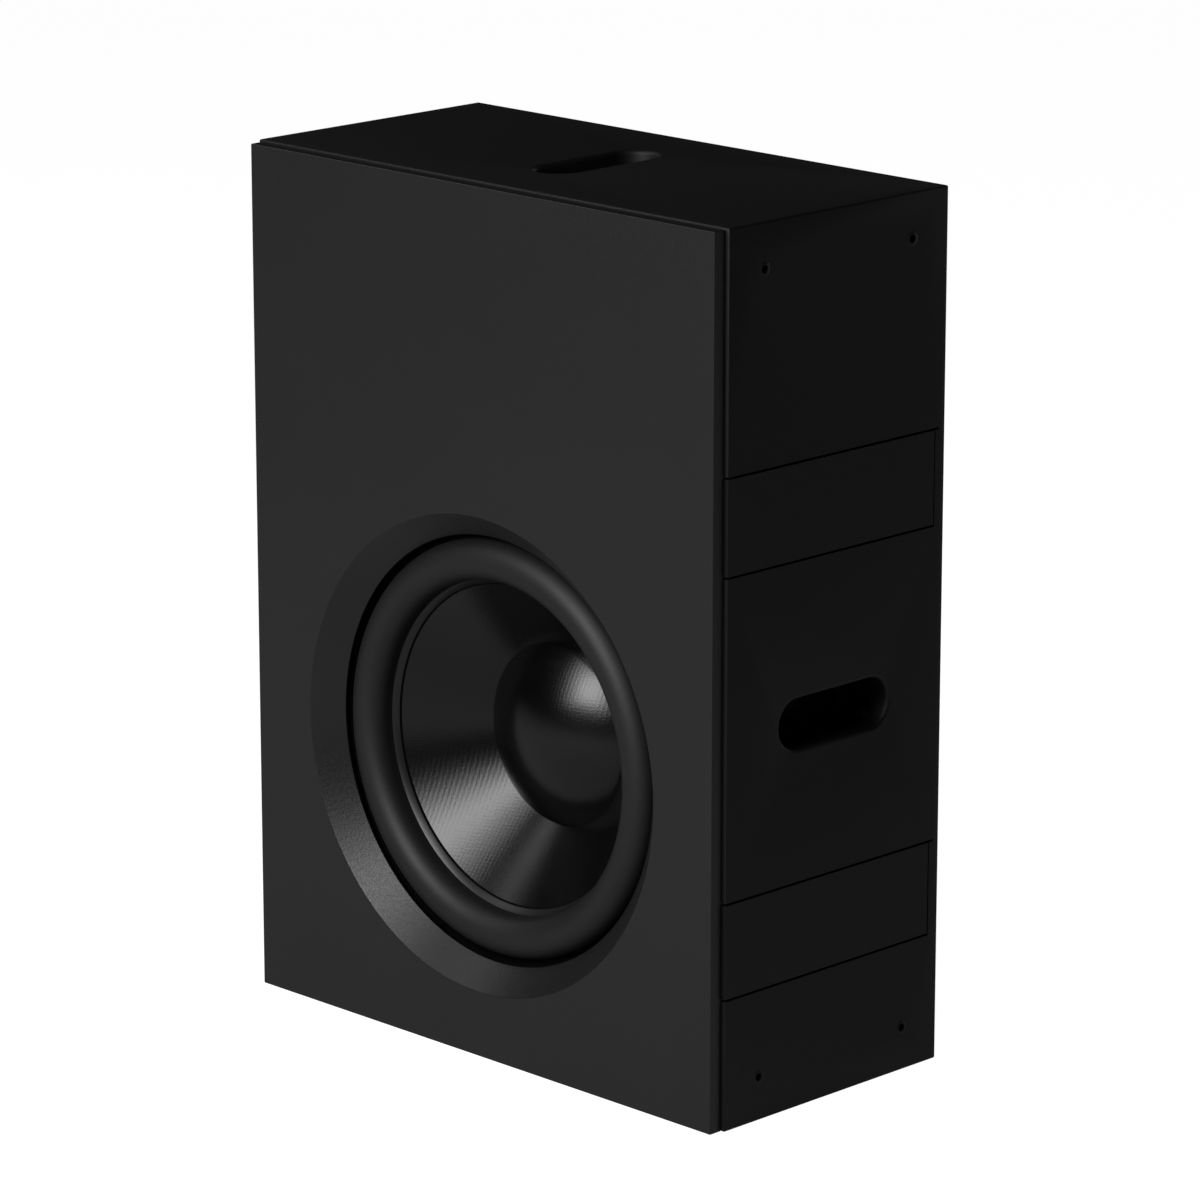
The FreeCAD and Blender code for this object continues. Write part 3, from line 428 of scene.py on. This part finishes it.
def woven(name, values):
    # two sets of threads that cross square to the driver's axis, and a fuzz of fibre drawn along Z
    material, tree, place = startMaterial(name)
    parts = addNode(tree, "ShaderNodeSeparateXYZ", None, {0: place})
    drawn = addNode(
        tree,
        "ShaderNodeVectorMath",
        {"operation": "MULTIPLY", 1: (1, 1, values["draw"])},
        {0: place},
    )
    fuzz = addNode(
        tree,
        "ShaderNodeTexNoise",
        {"Scale": 1 / values["fuzz"], "Detail": 3.0},
        {"Vector": drawn.outputs[0]},
    )
    height = addNode(
        tree,
        "ShaderNodeMath",
        {"operation": "MULTIPLY", 1: values["fuzzShare"]},
        {0: fuzz.outputs["Fac"]},
    )
    for axis, thread in (("X", "warp"), ("Z", "weft")):
        turn = addNode(
            tree,
            "ShaderNodeMath",
            {"operation": "MULTIPLY", 1: 2 * math.pi / values[thread]},
            {0: parts.outputs[axis]},
        )
        wave = addNode(tree, "ShaderNodeMath", {"operation": "SINE"}, {0: turn.outputs[0]})
        height = addNode(
            tree,
            "ShaderNodeMath",
            {"operation": "MULTIPLY_ADD", 1: values[thread + "Share"]},
            {0: wave.outputs[0], 2: height.outputs[0]},
        )
    lowest = -values["warpShare"] - values["weftShare"]
    highest = values["fuzzShare"] - lowest
    shade = addNode(
        tree,
        "ShaderNodeMapRange",
        {1: lowest, 2: highest, 3: 0.0, 4: 1.0},
        {0: height.outputs[0]},
    )
    colour = addNode(
        tree,
        "ShaderNodeMix",
        {"data_type": "RGBA", 6: linear(values["dark"]), 7: linear(values["light"])},
        {0: shade.outputs[0]},
    )
    gloss = addNode(
        tree,
        "ShaderNodeMapRange",
        {1: lowest, 2: highest, 3: values["roughest"], 4: values["smoothest"]},
        {0: height.outputs[0]},
    )
    relief = addNode(
        tree,
        "ShaderNodeBump",
        {"Strength": values["reliefStrength"], "Distance": values["relief"]},
        {"Height": height.outputs[0]},
    )
    finishMaterial(
        tree,
        {"IOR": values["ior"], "Sheen Weight": values.get("sheen", 0.0)},
        {
            "Base Color": colour.outputs[2],
            "Roughness": gloss.outputs[0],
            "Normal": relief.outputs["Normal"],
        },
    )
    return material


# black woven glass fibre under lacquer: threads glint where the light turns
# drawn coarser than the real 0.5 mm thread so that it shows
conePaper = {
    "dark": "#040404",
    "light": "#080808",
    "warp": 0.0034,
    "weft": 0.0026,
    "warpShare": 0.32,
    "weftShare": 0.1,
    "draw": 0.7,
    "fuzz": 0.0013,
    "fuzzShare": 2.4,
    "smoothest": 0.2,
    "roughest": 0.27,
    "relief": 0.00004,
    "reliefStrength": 0.8,
    "ior": 1.5,
}

# cotton cloth stiffened with resin: straw-brown weave
spiderCloth = {
    "dark": "#6d4c22",
    "light": "#a67c41",
    "warp": 0.0016,
    "weft": 0.0016,
    "warpShare": 0.5,
    "weftShare": 0.5,
    "draw": 1.0,
    "fuzz": 0.001,
    "fuzzShare": 0.6,
    "smoothest": 0.6,
    "roughest": 0.8,
    "relief": 0.0001,
    "reliefStrength": 0.6,
    "ior": 1.5,
}

# needled polyester felt: grey fluff without a weave
feltBoard = {
    "dark": "#2a2b2c",
    "light": "#4a4b4c",
    "warp": 0.0031,
    "weft": 0.0027,
    "warpShare": 0.3,
    "weftShare": 0.3,
    "draw": 1.0,
    "fuzz": 0.0016,
    "fuzzShare": 3.0,
    "smoothest": 0.85,
    "roughest": 0.98,
    "relief": 0.0004,
    "reliefStrength": 0.8,
    "ior": 1.45,
    "sheen": 0.3,
}


def banded(name, values):
    # stripes along one axis: plies of veneer, turns of wire or a wound tube
    material, tree, place = startMaterial(name)
    parts = addNode(tree, "ShaderNodeSeparateXYZ", None, {0: place})
    blotch = addNode(
        tree,
        "ShaderNodeTexNoise",
        {"Scale": 1 / values["blotch"], "Detail": 4.0},
        {"Vector": place},
    )
    turn = addNode(
        tree,
        "ShaderNodeMath",
        {"operation": "MULTIPLY", 1: 2 * math.pi / values["pitch"]},
        {0: parts.outputs[values["axis"]]},
    )
    shifted = addNode(
        tree,
        "ShaderNodeMath",
        {"operation": "MULTIPLY_ADD", 1: values["waver"]},
        {0: blotch.outputs["Fac"], 2: turn.outputs[0]},
    )
    band = addNode(tree, "ShaderNodeMath", {"operation": "SINE"}, {0: shifted.outputs[0]})
    shade = addNode(
        tree, "ShaderNodeMapRange", {1: -1.0, 2: 1.0, 3: 0.0, 4: 1.0}, {0: band.outputs[0]}
    )
    colour = addNode(
        tree,
        "ShaderNodeMix",
        {"data_type": "RGBA", 6: linear(values["dark"]), 7: linear(values["light"])},
        {0: shade.outputs[0]},
    )
    gloss = addNode(
        tree,
        "ShaderNodeMapRange",
        {1: 0.3, 2: 0.7, 3: values["smoothest"], 4: values["roughest"]},
        {0: blotch.outputs["Fac"]},
    )
    relief = addNode(
        tree,
        "ShaderNodeBump",
        {"Strength": values["reliefStrength"], "Distance": values["relief"]},
        {"Height": band.outputs[0]},
    )
    finishMaterial(
        tree,
        {"IOR": values["ior"], "Metallic": values["metallic"]},
        {
            "Base Color": colour.outputs[2],
            "Roughness": gloss.outputs[0],
            "Normal": relief.outputs["Normal"],
        },
    )
    return material


# birch plywood, sanded and left bare inside: pale wood in thin plies
birchPlywood = {
    "dark": "#a98a5c",
    "light": "#d2b585",
    "axis": "Y",
    "pitch": 0.0028,
    "waver": 2.0,
    "blotch": 0.03,
    "smoothest": 0.55,
    "roughest": 0.75,
    "relief": 0.00005,
    "reliefStrength": 0.3,
    "ior": 1.5,
    "metallic": 0.0,
}

# glass-fibre and polyimide tube: translucent amber skin, drawn opaque
formerTube = {
    "dark": "#6e3f12",
    "light": "#8d5a20",
    "axis": "Y",
    "pitch": 0.004,
    "waver": 1.0,
    "blotch": 0.01,
    "smoothest": 0.25,
    "roughest": 0.35,
    "relief": 0.00002,
    "reliefStrength": 0.3,
    "ior": 1.55,
    "metallic": 0.0,
}

# enamelled copper wire, wound turn by turn
copperWire = {
    "dark": "#8a4326",
    "light": "#c9713f",
    "axis": "Y",
    "pitch": 0.0009,
    "waver": 0.0,
    "blotch": 0.006,
    "smoothest": 0.2,
    "roughest": 0.3,
    "relief": 0.0002,
    "reliefStrength": 0.8,
    "ior": 1.5,
    "metallic": 1.0,
}

finishes = {
    "painted_board": speckled("matt black cabinet paint", boardPaint),
    "painted_front": speckled("satin black front paint", frontPaint),
    "moulded_plastic": speckled("black ABS", mouldedPlastic),
    "zinc_steel": speckled("zinc-plated steel", zincPlate),
    "blackened_steel": speckled("blackened steel", blackSteel),
    "cast_frame": speckled("powder-coated cast aluminium", castFrame),
    "rubber": speckled("butyl rubber", rubberSkin),
    "glued_lip": speckled("butyl rubber, glued lip", gluedLip),
    "foam": speckled("closed-cell foam", foamAndPaintedShade),
    "lead_sheath": speckled("PVC sheath", leadSheath),
    "ferrite": speckled("sintered ferrite", ferriteBlock),
    "woven_cone": woven("lacquered woven glass fibre", conePaper),
    "spider_cloth": woven("resin-stiffened cotton", spiderCloth),
    "felt": woven("needled polyester felt", feltBoard),
    "plywood": banded("birch plywood", birchPlywood),
    "coil_former": banded("polyimide tube", formerTube),
    "copper_wire": banded("enamelled copper wire", copperWire),
}
print("finishes made:", len(finishes))


plate = {
    "thickness": 0.0124,  # in front of the carcass
    "bossSide": 0.0147,  # step from the plate's side edge to the boss that fits in the carcass
    "recessRim": 0.2022,
    "recessLand": 0.1807,
    "edge": 0.0006,
    "bossGap": 0.0005,
}


def makeFrontPlate():
    low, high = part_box("front_plate")
    lipBack = low.y + plate["thickness"]
    piece = addBlock("front_plate_painted", low, (high.x, lipBack, high.z))
    bossLow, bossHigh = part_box("sub_baffle")

    # the boss behind the plate, fitted into the carcass
    bpy.ops.object.mode_set(mode="EDIT")
    pick("FACE", lambda middle, face: face.normal.y > 0.9)
    bpy.ops.mesh.inset(thickness=plate["bossSide"], use_even_offset=True)
    bpy.ops.mesh.extrude_region_move(
        TRANSFORM_OT_translate={"value": (0, high.y - lipBack, 0)}
    )
    for axis in (0, 2):
        for old, new in (
            (low[axis] + plate["bossSide"], bossLow[axis] + plate["bossGap"]),
            (high[axis] - plate["bossSide"], bossHigh[axis] - plate["bossGap"]),
        ):
            pick(
                "VERT",
                lambda point, corner: point.y > lipBack - 0.00001 and near(point[axis], old),
            )
            move = [0, 0, 0]
            move[axis] = new - old
            bpy.ops.transform.translate(value=move)
    bpy.ops.object.mode_set(mode="OBJECT")

    # cutter for the 45 degree recess and the narrow land at its foot
    startClean()
    ahead, past = 0.003, 0.02
    slope = plate["recessRim"] - plate["recessLand"]
    bpy.ops.mesh.primitive_cone_add(
        vertices=240,
        radius1=plate["recessRim"] + ahead,
        radius2=plate["recessLand"],
        depth=slope + ahead,
        location=(0, low.y + (slope - ahead) / 2, axisZ),
        rotation=(-math.pi / 2, 0, 0),
    )
    cutter = settle("recess cutter")
    bpy.ops.object.mode_set(mode="EDIT")
    pick("FACE", lambda middle, face: face.normal.y > 0.9)
    bpy.ops.mesh.extrude_region_move(TRANSFORM_OT_translate={"value": (0, past, 0)})
    bpy.ops.object.mode_set(mode="OBJECT")
    carve(piece, cutter)
    cleanMesh(piece)
    softenEdges(piece, plate["edge"], 2, 35)
    finishPiece(piece, "painted_front", "cabinet", "front_plate")
    # painted shade: the land's faces take the foam black, so the gap round the driver reads as a dark ring
    land = plate["recessLand"] + plate["edge"]
    paintFaces(
        piece,
        finishes["foam"],
        lambda face: abs(face.normal.y) < 0.9 and radiusOf(face.center) < land,
    )


makeFrontPlate()
print("front plate made")


panel = {
    "wall": 0.018,
    "rebate": 0.009,
    "arris": 0.0015,
    "slotLength": 0.1267,
    "slotWidth": 0.0417,
    "slotRound": 0.0035,
    "sideSlot": (0.1247, 0.322),  # depth behind the front edge, height
    "topSlot": 0.126,
    "groove": 0.0018,
    "rearGroove": 0.001,
    "overcut": 0.0042,
    "overlap": 0.002,
    "spare": 0.01,  # how far a cutter reaches past a board
    "cutDepth": 0.06,
    "stripEdge": 0.0004,
    "flange": 0.0016,
    "sleeve": 0.006,
    "holeDepths": (0.0397, 0.2097),
    "holeHeights": (0.0368, 0.6955),
}


def slotCutter(middle, size, across):
    # a stadium: a block with its four long edges rounded to a hair under half its width
    low = [m - s / 2 for m, s in zip(middle, size)]
    high = [m + s / 2 for m, s in zip(middle, size)]
    cutter = addBlock("slot cutter", low, high)
    bpy.ops.object.mode_set(mode="EDIT")
    pick("EDGE", lambda point, edge: near(point[across], middle[across]))
    bpy.ops.mesh.bevel(offset=panel["slotWidth"] / 2 - 0.00002, segments=28, affect="EDGES")
    bpy.ops.object.mode_set(mode="OBJECT")
    return cutter


def roundSlot(piece, middle, size, across):
    # hand-friendly round on the slot's outer edge
    def onRim(point):
        return near(point[across], middle[across]) and all(
            axis == across or abs(point[axis] - middle[axis]) < size[axis] / 2 + 0.0005
            for axis in range(3)
        )

    cleanMesh(piece)
    bpy.ops.object.mode_set(mode="EDIT")
    pick("EDGE", lambda point, edge: all(onRim(corner.co) for corner in edge.verts))
    bpy.ops.mesh.bevel(offset=panel["slotRound"], segments=6, affect="EDGES")
    bpy.ops.object.mode_set(mode="OBJECT")
    cleanMesh(piece)


def roundOutside(planes):
    # rounds the new block's edges where two of its outer faces meet
    bpy.ops.object.mode_set(mode="EDIT")
    pick(
        "EDGE",
        lambda point, edge: sum(
            any(near(point[axis], place) for place in places) for axis, places in planes.items()
        )
        >= 2,
    )
    bpy.ops.mesh.bevel(offset=panel["arris"], segments=4, affect="EDGES")
    bpy.ops.object.mode_set(mode="OBJECT")


def makeSidePanel(side, label):
    name = "side_panel_" + label
    low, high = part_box(name)
    outer = high.x if side > 0 else low.x
    inner = low.x if side > 0 else high.x
    piece = addBlock(name + "_painted", low, high)
    roundOutside({0: (outer,), 1: (low.y, high.y), 2: (low.z, high.z)})

    # rebates for the top, bottom and rear boards
    step = inner + side * panel["rebate"]
    wall, spare = panel["wall"], panel["spare"]
    xEnds = sorted((inner - side * spare, step))
    cutters = [
        addBlock("rebate", (xEnds[0], *rebateLow), (xEnds[1], *rebateHigh))
        for rebateLow, rebateHigh in (
            ((low.y - spare, low.z - spare), (high.y + spare, low.z + wall)),
            ((low.y - spare, high.z - wall), (high.y + spare, high.z + spare)),
            ((high.y - wall, low.z - spare), (high.y + spare, high.z + spare)),
        )
    ]

    # pockets for the infill strips, with the cutter's overrun at the rear top corner
    for level in ("lower", "upper"):
        stripLow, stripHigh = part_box(f"infill_strip_{label}_{level}")
        floor = stripLow.x if side > 0 else stripHigh.x
        xEnds = sorted((floor, outer + side * spare))
        rear = stripHigh.y + panel["rearGroove"]
        top = stripHigh.z + panel["groove"]
        bottom = stripLow.z - panel["groove"]
        past = rear + panel["overcut"]
        corner = (xEnds[0], rear - panel["overlap"], stripHigh.z)
        cutters.append(addBlock("pocket", (xEnds[0], low.y - spare, bottom), (xEnds[1], rear, top)))
        cutters.append(addBlock("overrun", corner, (xEnds[1], past, top)))

    # sleeves' seats at the four corners
    for depth in panel["holeDepths"]:
        for height in panel["holeHeights"]:
            startClean()
            bpy.ops.mesh.primitive_cylinder_add(
                vertices=48,
                radius=panel["sleeve"],
                depth=panel["cutDepth"],
                location=(outer, frontEdge + depth, height),
                rotation=(0, math.pi / 2, 0),
            )
            cutters.append(settle("hole cutter"))
    slotDepth, slotHeight = panel["sideSlot"]
    middle = (outer, frontEdge + slotDepth, slotHeight)
    size = (panel["cutDepth"], panel["slotLength"], panel["slotWidth"])
    carve(piece, *cutters, slotCutter(middle, size, 0))
    roundSlot(piece, middle, size, 0)
    smooth(piece, 25)
    return finishPiece(piece, "painted_board", "cabinet", name)


def makeTopPanel():
    low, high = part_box("top_panel")
    piece = addBlock("top_panel_painted", low, high)
    roundOutside({1: (low.y, high.y), 2: (high.z,)})
    wall, spare = panel["wall"], panel["spare"]
    middle = (0, frontEdge + panel["topSlot"], high.z)
    size = (panel["slotWidth"], panel["slotLength"], panel["cutDepth"])
    # the rear board stands under the top panel in a rebate
    rebate = addBlock(
        "rebate",
        (low.x - spare, high.y - wall, low.z - spare),
        (high.x + spare, high.y + spare, low.z + panel["rebate"]),
    )
    carve(piece, rebate, slotCutter(middle, size, 2))
    roundSlot(piece, middle, size, 2)
    smooth(piece, 25)
    return finishPiece(piece, "painted_board", "cabinet", "top_panel")


def makeStrip(name):
    low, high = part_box(name)
    piece = addBlock(name + "_painted", low, high)
    softenEdges(piece, panel["stripEdge"])
    return finishPiece(piece, "painted_board", "cabinet", name)


makeSidePanel(1, "right")
makeSidePanel(-1, "left")
makeTopPanel()
for label in ("right", "left"):
    for level in ("lower", "upper"):
        makeStrip(f"infill_strip_{label}_{level}")
print("panels and strips made")


driver = {
    "rollCentre": 0.1592,
    "rollRadius": 0.0175,
    "rollDepth": 0.0205,
    "rubber": 0.0012,
    "gasketInner": 0.1808,
    "flangeFront": 0.021,
    "lipOuter": 0.1414,
    "lipInner": 0.1361,
    "lipEdge": 0.1367,
    "lipThickness": 0.0013,
    "shadeBeadEdge": 0.1358,
    "shadeBeadSink": 0.0001,
    "coneEdge": 0.1429,
    "coneDepth": 0.0309,
    "coneSlope": 0.845,
    "coneSkin": 0.0016,
    "formerRadius": 0.0503,
    "capRadius": 0.077,
    "capApex": 0.053,
    "capSkin": 0.0009,
    "capBevel": (0.0006, 0.0007),  # inwards, forwards
    "spiderSpan": (0.092, 0.052),  # glued to the frame, glued to the former
}


def coneY(radius):
    # the cone's front face at that distance from the axis
    return frontEdge + driver["coneDepth"] + (driver["lipInner"] - radius) * driver["coneSlope"]


def scaleRing(factor):
    bpy.ops.transform.resize(
        value=(factor, 1, factor), center_override=(0, 0, axisZ), orient_type="GLOBAL"
    )


def pickedRadius(piece):
    corners = bmesh.from_edit_mesh(piece.data).verts
    return max(radiusOf(corner.co) for corner in corners if corner.select)


def makeSurround():
    startClean()
    rollY = frontEdge + driver["rollDepth"]
    bpy.ops.mesh.primitive_torus_add(
        location=(0, rollY, axisZ),
        rotation=(math.pi / 2, 0, 0),
        major_radius=driver["rollCentre"],
        minor_radius=driver["rollRadius"],
        major_segments=192,
        minor_segments=72,
    )
    piece = settle("surround_roll")
    lipY = frontEdge + driver["flangeFront"] - driver["rubber"]
    bpy.ops.object.mode_set(mode="EDIT")
    bpy.ops.mesh.select_all(action="SELECT")
    bpy.ops.mesh.bisect(plane_co=(0, lipY, 0), plane_no=(0, 1, 0), clear_outer=True)

    # outer lip, laid on the frame inside the gasket
    pick("EDGE", lambda point, edge: edge.is_boundary and radiusOf(point) > driver["rollCentre"])
    edgeRadius = pickedRadius(piece)
    bpy.ops.mesh.extrude_region_move()
    scaleRing(driver["gasketInner"] / edgeRadius)

    # inner lip, glued along the front of the cone
    pick("EDGE", lambda point, edge: edge.is_boundary and radiusOf(point) < driver["rollCentre"])
    edgeRadius = pickedRadius(piece)
    level = lipY
    for radius in (driver["lipOuter"], driver["lipEdge"]):
        target = coneY(radius) - driver["lipThickness"]
        bpy.ops.mesh.extrude_region_move(TRANSFORM_OT_translate={"value": (0, target - level, 0)})
        scaleRing(radius / edgeRadius)
        level, edgeRadius = target, radius

    # a bead down to the cone, shaped like a glue line; it closes the gap under the lip's edge and is painted
    # black there as painted shade
    foot = coneY(driver["shadeBeadEdge"]) - driver["shadeBeadSink"]
    bpy.ops.mesh.extrude_region_move(TRANSFORM_OT_translate={"value": (0, foot - level, 0)})
    scaleRing(driver["shadeBeadEdge"] / edgeRadius)
    bpy.ops.object.mode_set(mode="OBJECT")
    cleanMesh(piece)
    thickenBehind(piece, driver["rubber"])
    smooth(piece, 40)
    finishPiece(piece, "rubber", None, "surround")
    paintFaces(
        piece,
        finishes["glued_lip"],
        lambda face: driver["lipEdge"] < radiusOf(face.center) < driver["lipOuter"],
    )
    # painted shade: the outer lip, and the lip's inner wall with the bead, take the foam black, so the gap
    # round the roll and the line under the lip's edge read dark
    outside = driver["rollCentre"] + driver["rollRadius"]
    paintFaces(
        piece,
        finishes["foam"],
        lambda face: not driver["lipEdge"] < radiusOf(face.center) < outside,
    )
    return piece


surround = makeSurround()


def stretchBetween(piece, outer, inner):
    # still at its outer edge, and moving with the cone at its inner edge
    start, end = (0, 0, axisZ + outer), (0, 0, axisZ + inner)
    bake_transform(piece, "cabinet", "cone_assembly", start=start, end=end)
    weights = piece.data.attributes["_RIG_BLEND"]
    for vertex, weight in zip(piece.data.vertices, weights.data):
        part = min(1, max(0, (outer - radiusOf(vertex.co)) / (outer - inner)))
        weight.value = part * part * (3 - 2 * part)


stretchBetween(surround, driver["rollCentre"] + driver["rollRadius"], driver["lipOuter"])


def makeCone():
    startClean()
    outer, inner = driver["coneEdge"], driver["formerRadius"]
    bpy.ops.mesh.primitive_cone_add(
        vertices=192,
        radius1=outer,
        radius2=inner,
        depth=coneY(inner) - coneY(outer),
        end_fill_type="NOTHING",
        location=(0, (coneY(inner) + coneY(outer)) / 2, axisZ),
        rotation=(-math.pi / 2, 0, 0),
    )
    piece = settle("cone_woven")
    cleanMesh(piece)
    thickenBehind(piece, driver["coneSkin"] * math.cos(math.atan(driver["coneSlope"])))
    smooth(piece, 40)
    return finishPiece(piece, "woven_cone", "cone_assembly", "cone")


makeCone()


def makeDustCap():
    # one dome from rim to rim, with a small bevel down to the cone
    rim = driver["capRadius"]
    inwards, forwards = driver["capBevel"]
    edgeRadius, edgeY = rim - inwards, coneY(rim) - forwards
    apexY = frontEdge + driver["capApex"]
    rise = edgeY - apexY
    sphere = (edgeRadius**2 + rise**2) / (2 * rise)
    startClean()
    bpy.ops.mesh.primitive_uv_sphere_add(
        segments=160,
        ring_count=128,
        radius=sphere,
        location=(0, apexY + sphere, axisZ),
        rotation=(math.pi / 2, 0, 0),
    )
    piece = settle("dust_cap_dome")
    bpy.ops.object.mode_set(mode="EDIT")
    bpy.ops.mesh.select_all(action="SELECT")
    bpy.ops.mesh.bisect(plane_co=(0, edgeY, 0), plane_no=(0, 1, 0), clear_outer=True)
    pick("EDGE", lambda point, edge: edge.is_boundary)
    bpy.ops.mesh.extrude_region_move(TRANSFORM_OT_translate={"value": (0, coneY(rim) - edgeY, 0)})
    scaleRing(rim / edgeRadius)
    bpy.ops.object.mode_set(mode="OBJECT")
    cleanMesh(piece)
    thickenBehind(piece, driver["capSkin"])
    smooth(piece, 50)
    return finishPiece(piece, "woven_cone", "cone_assembly", "dust_cap")


makeDustCap()
print("driver front made")


smoothParts = {
    "moulded_plastic": (
        "handle_cup_right",
        "handle_cup_left",
        "handle_cup_top",
        "connector_socket_lower",
        "connector_socket_upper",
    ),
    "cast_frame": ("driver_frame",),
    "lead_sheath": ("driver_lead", "link_lead"),
    "blackened_steel": (
        "driver_screws",
        "cup_screws_right",
        "cup_screws_left",
        "cup_screws_top",
        "connector_screws",
    ),
}
for slotName, names in smoothParts.items():
    for name in names:
        smoothCopy(name, slotName)

for label in ("right", "left"):
    inserts = smoothCopy("side_inserts_" + label, "zinc_steel")
    # the sleeves' outer ends are sprayed with the panel, and their bores take the same black as painted
    # shade so the holes read dark; only their flanges inside stay bright
    sleeveEnd = max(abs(place.x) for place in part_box("side_inserts_" + label))
    flangeEnd = sleeveEnd - panel["wall"] + panel["flange"]
    paintFaces(inserts, finishes["painted_board"], lambda face: abs(face.center.x) > flangeEnd)

spider = smoothCopy("spider", "spider_cloth", None)
stretchBetween(spider, *driver["spiderSpan"])
smoothCopy("coil_former", "coil_former", "cone_assembly")
smoothCopy("coil_winding", "copper_wire", "cone_assembly")

plainParts = {
    "painted_board": ("bottom_panel", "rear_panel", "connector_plate"),
    "plywood": ("sub_baffle", "brace_lower", "brace_upper"),
    "felt": ("damping_felt_right", "damping_felt_left", "damping_felt_rear"),
    "zinc_steel": ("plate_studs", "driver_nuts", "top_plate", "yoke"),
    "moulded_plastic": ("stud_sockets", "terminal_board"),
    "foam": ("frame_gasket", "frame_seal"),
    "ferrite": ("magnet",),
}
for slotName, names in plainParts.items():
    for name in names:
        node = nodes[name]
        node.data.materials.clear()
        node.data.materials.append(finishes[slotName])
print("other parts finished")


stage = {
    "floorSize": 40.0,
    "floorColour": "#969696",
    "floorGlow": 0.98,
    "mirrorShare": 0.17,  # how much of the glow a mirror image of the floor keeps
    "world": 0.004,
}


def makeFloor():
    startClean()
    bpy.ops.mesh.primitive_plane_add(size=stage["floorSize"], location=(0, 0, cadLow.z))
    floor = bpy.context.object
    floor.name = "floor"
    material = bpy.data.materials.new("pale studio floor")
    material.use_nodes = True
    tree = material.node_tree
    tree.nodes.clear()
    # what looks at the floor, or mirrors it, sees it white; the shadow stays in the diffuse part
    path = addNode(tree, "ShaderNodeLightPath")
    mirrored = addNode(
        tree,
        "ShaderNodeMath",
        {"operation": "MULTIPLY", 1: stage["mirrorShare"]},
        {0: path.outputs["Is Glossy Ray"]},
    )
    seen = addNode(
        tree,
        "ShaderNodeMath",
        {"operation": "MAXIMUM"},
        {0: path.outputs["Is Camera Ray"], 1: mirrored.outputs[0]},
    )
    seen = addNode(
        tree,
        "ShaderNodeMath",
        {"operation": "MAXIMUM"},
        {0: seen.outputs[0], 1: path.outputs["Is Transmission Ray"]},
    )
    glow = addNode(
        tree,
        "ShaderNodeMath",
        {"operation": "MULTIPLY", 1: stage["floorGlow"]},
        {0: seen.outputs[0]},
    )
    emission = addNode(
        tree, "ShaderNodeEmission", {"Color": (1, 1, 1, 1)}, {"Strength": glow.outputs[0]}
    )
    diffuse = addNode(tree, "ShaderNodeBsdfDiffuse", {"Color": linear(stage["floorColour"])})
    both = addNode(
        tree,
        "ShaderNodeAddShader",
        None,
        {0: diffuse.outputs["BSDF"], 1: emission.outputs["Emission"]},
    )
    addNode(tree, "ShaderNodeOutputMaterial", None, {"Surface": both.outputs["Shader"]})
    floor.data.materials.append(material)


makeFloor()

# where each lamp stands as seen from the driver: turn from straight ahead and height, in degrees
lamps = {
    "front softbox": {
        "turn": 3,
        "height": 33,
        "distance": 2.4,
        "size": (1.8, 1.5),
        "radiance": 3.1,
    },
    # a softbox is brightest in its middle
    "front softbox middle": {
        "turn": 4,
        "height": 31,
        "distance": 2.4,
        "size": (1.0, 0.95),
        "radiance": 6.4,
    },
    "left softbox": {
        "turn": -70,
        "height": 47,
        "distance": 2.4,
        "size": (1.6, 0.8),
        "radiance": 1.65,
    },
    "rear softbox": {
        "turn": 184,
        "height": 7,
        "distance": 2.6,
        "size": (1.4, 1.0),
        "radiance": 2.6,
    },
}
target = Vector((0, frontEdge, axisZ))
for name, values in lamps.items():
    startClean()
    turn, height = math.radians(values["turn"]), math.radians(values["height"])
    direction = Vector(
        (math.sin(turn) * math.cos(height), -math.cos(turn) * math.cos(height), math.sin(height))
    )
    place = target + direction * values["distance"]
    bpy.ops.object.light_add(type="AREA", location=place)
    lamp = bpy.context.object
    lamp.name = name
    lamp.rotation_euler = (target - place).to_track_quat("-Z", "Y").to_euler()
    lamp.data.shape = "RECTANGLE"
    lamp.data.size, lamp.data.size_y = values["size"]
    lamp.data.energy = values["radiance"] * math.pi * values["size"][0] * values["size"][1]
    lamp.visible_camera = False

world = bpy.context.scene.world or bpy.data.worlds.new("studio")
bpy.context.scene.world = world
world.use_nodes = True
background = world.node_tree.nodes["Background"]
background.inputs["Color"].default_value = (1, 1, 1, 1)
# the backdrop looks white above the floor too, and lights the cabinet hardly at all
path = addNode(world.node_tree, "ShaderNodeLightPath")
seen = addNode(
    world.node_tree,
    "ShaderNodeMath",
    {"operation": "MAXIMUM", 1: stage["world"]},
    {0: path.outputs["Is Camera Ray"]},
)
world.node_tree.links.new(seen.outputs[0], background.inputs["Strength"])

camera = {
    "place": (3.2072, -3.1948, 1.5732),
    "turn": (75.067, 0, 45.02),
    "lens": 169.85,
    "film": 36.0,
}
startClean()
bpy.ops.object.camera_add(
    location=camera["place"], rotation=[math.radians(angle) for angle in camera["turn"]]
)
bpy.context.object.data.lens = camera["lens"]
bpy.context.object.data.sensor_width = camera["film"]
bpy.context.scene.camera = bpy.context.object
bpy.context.scene.view_settings.view_transform = "Standard"
print("stage, lamps and camera set")
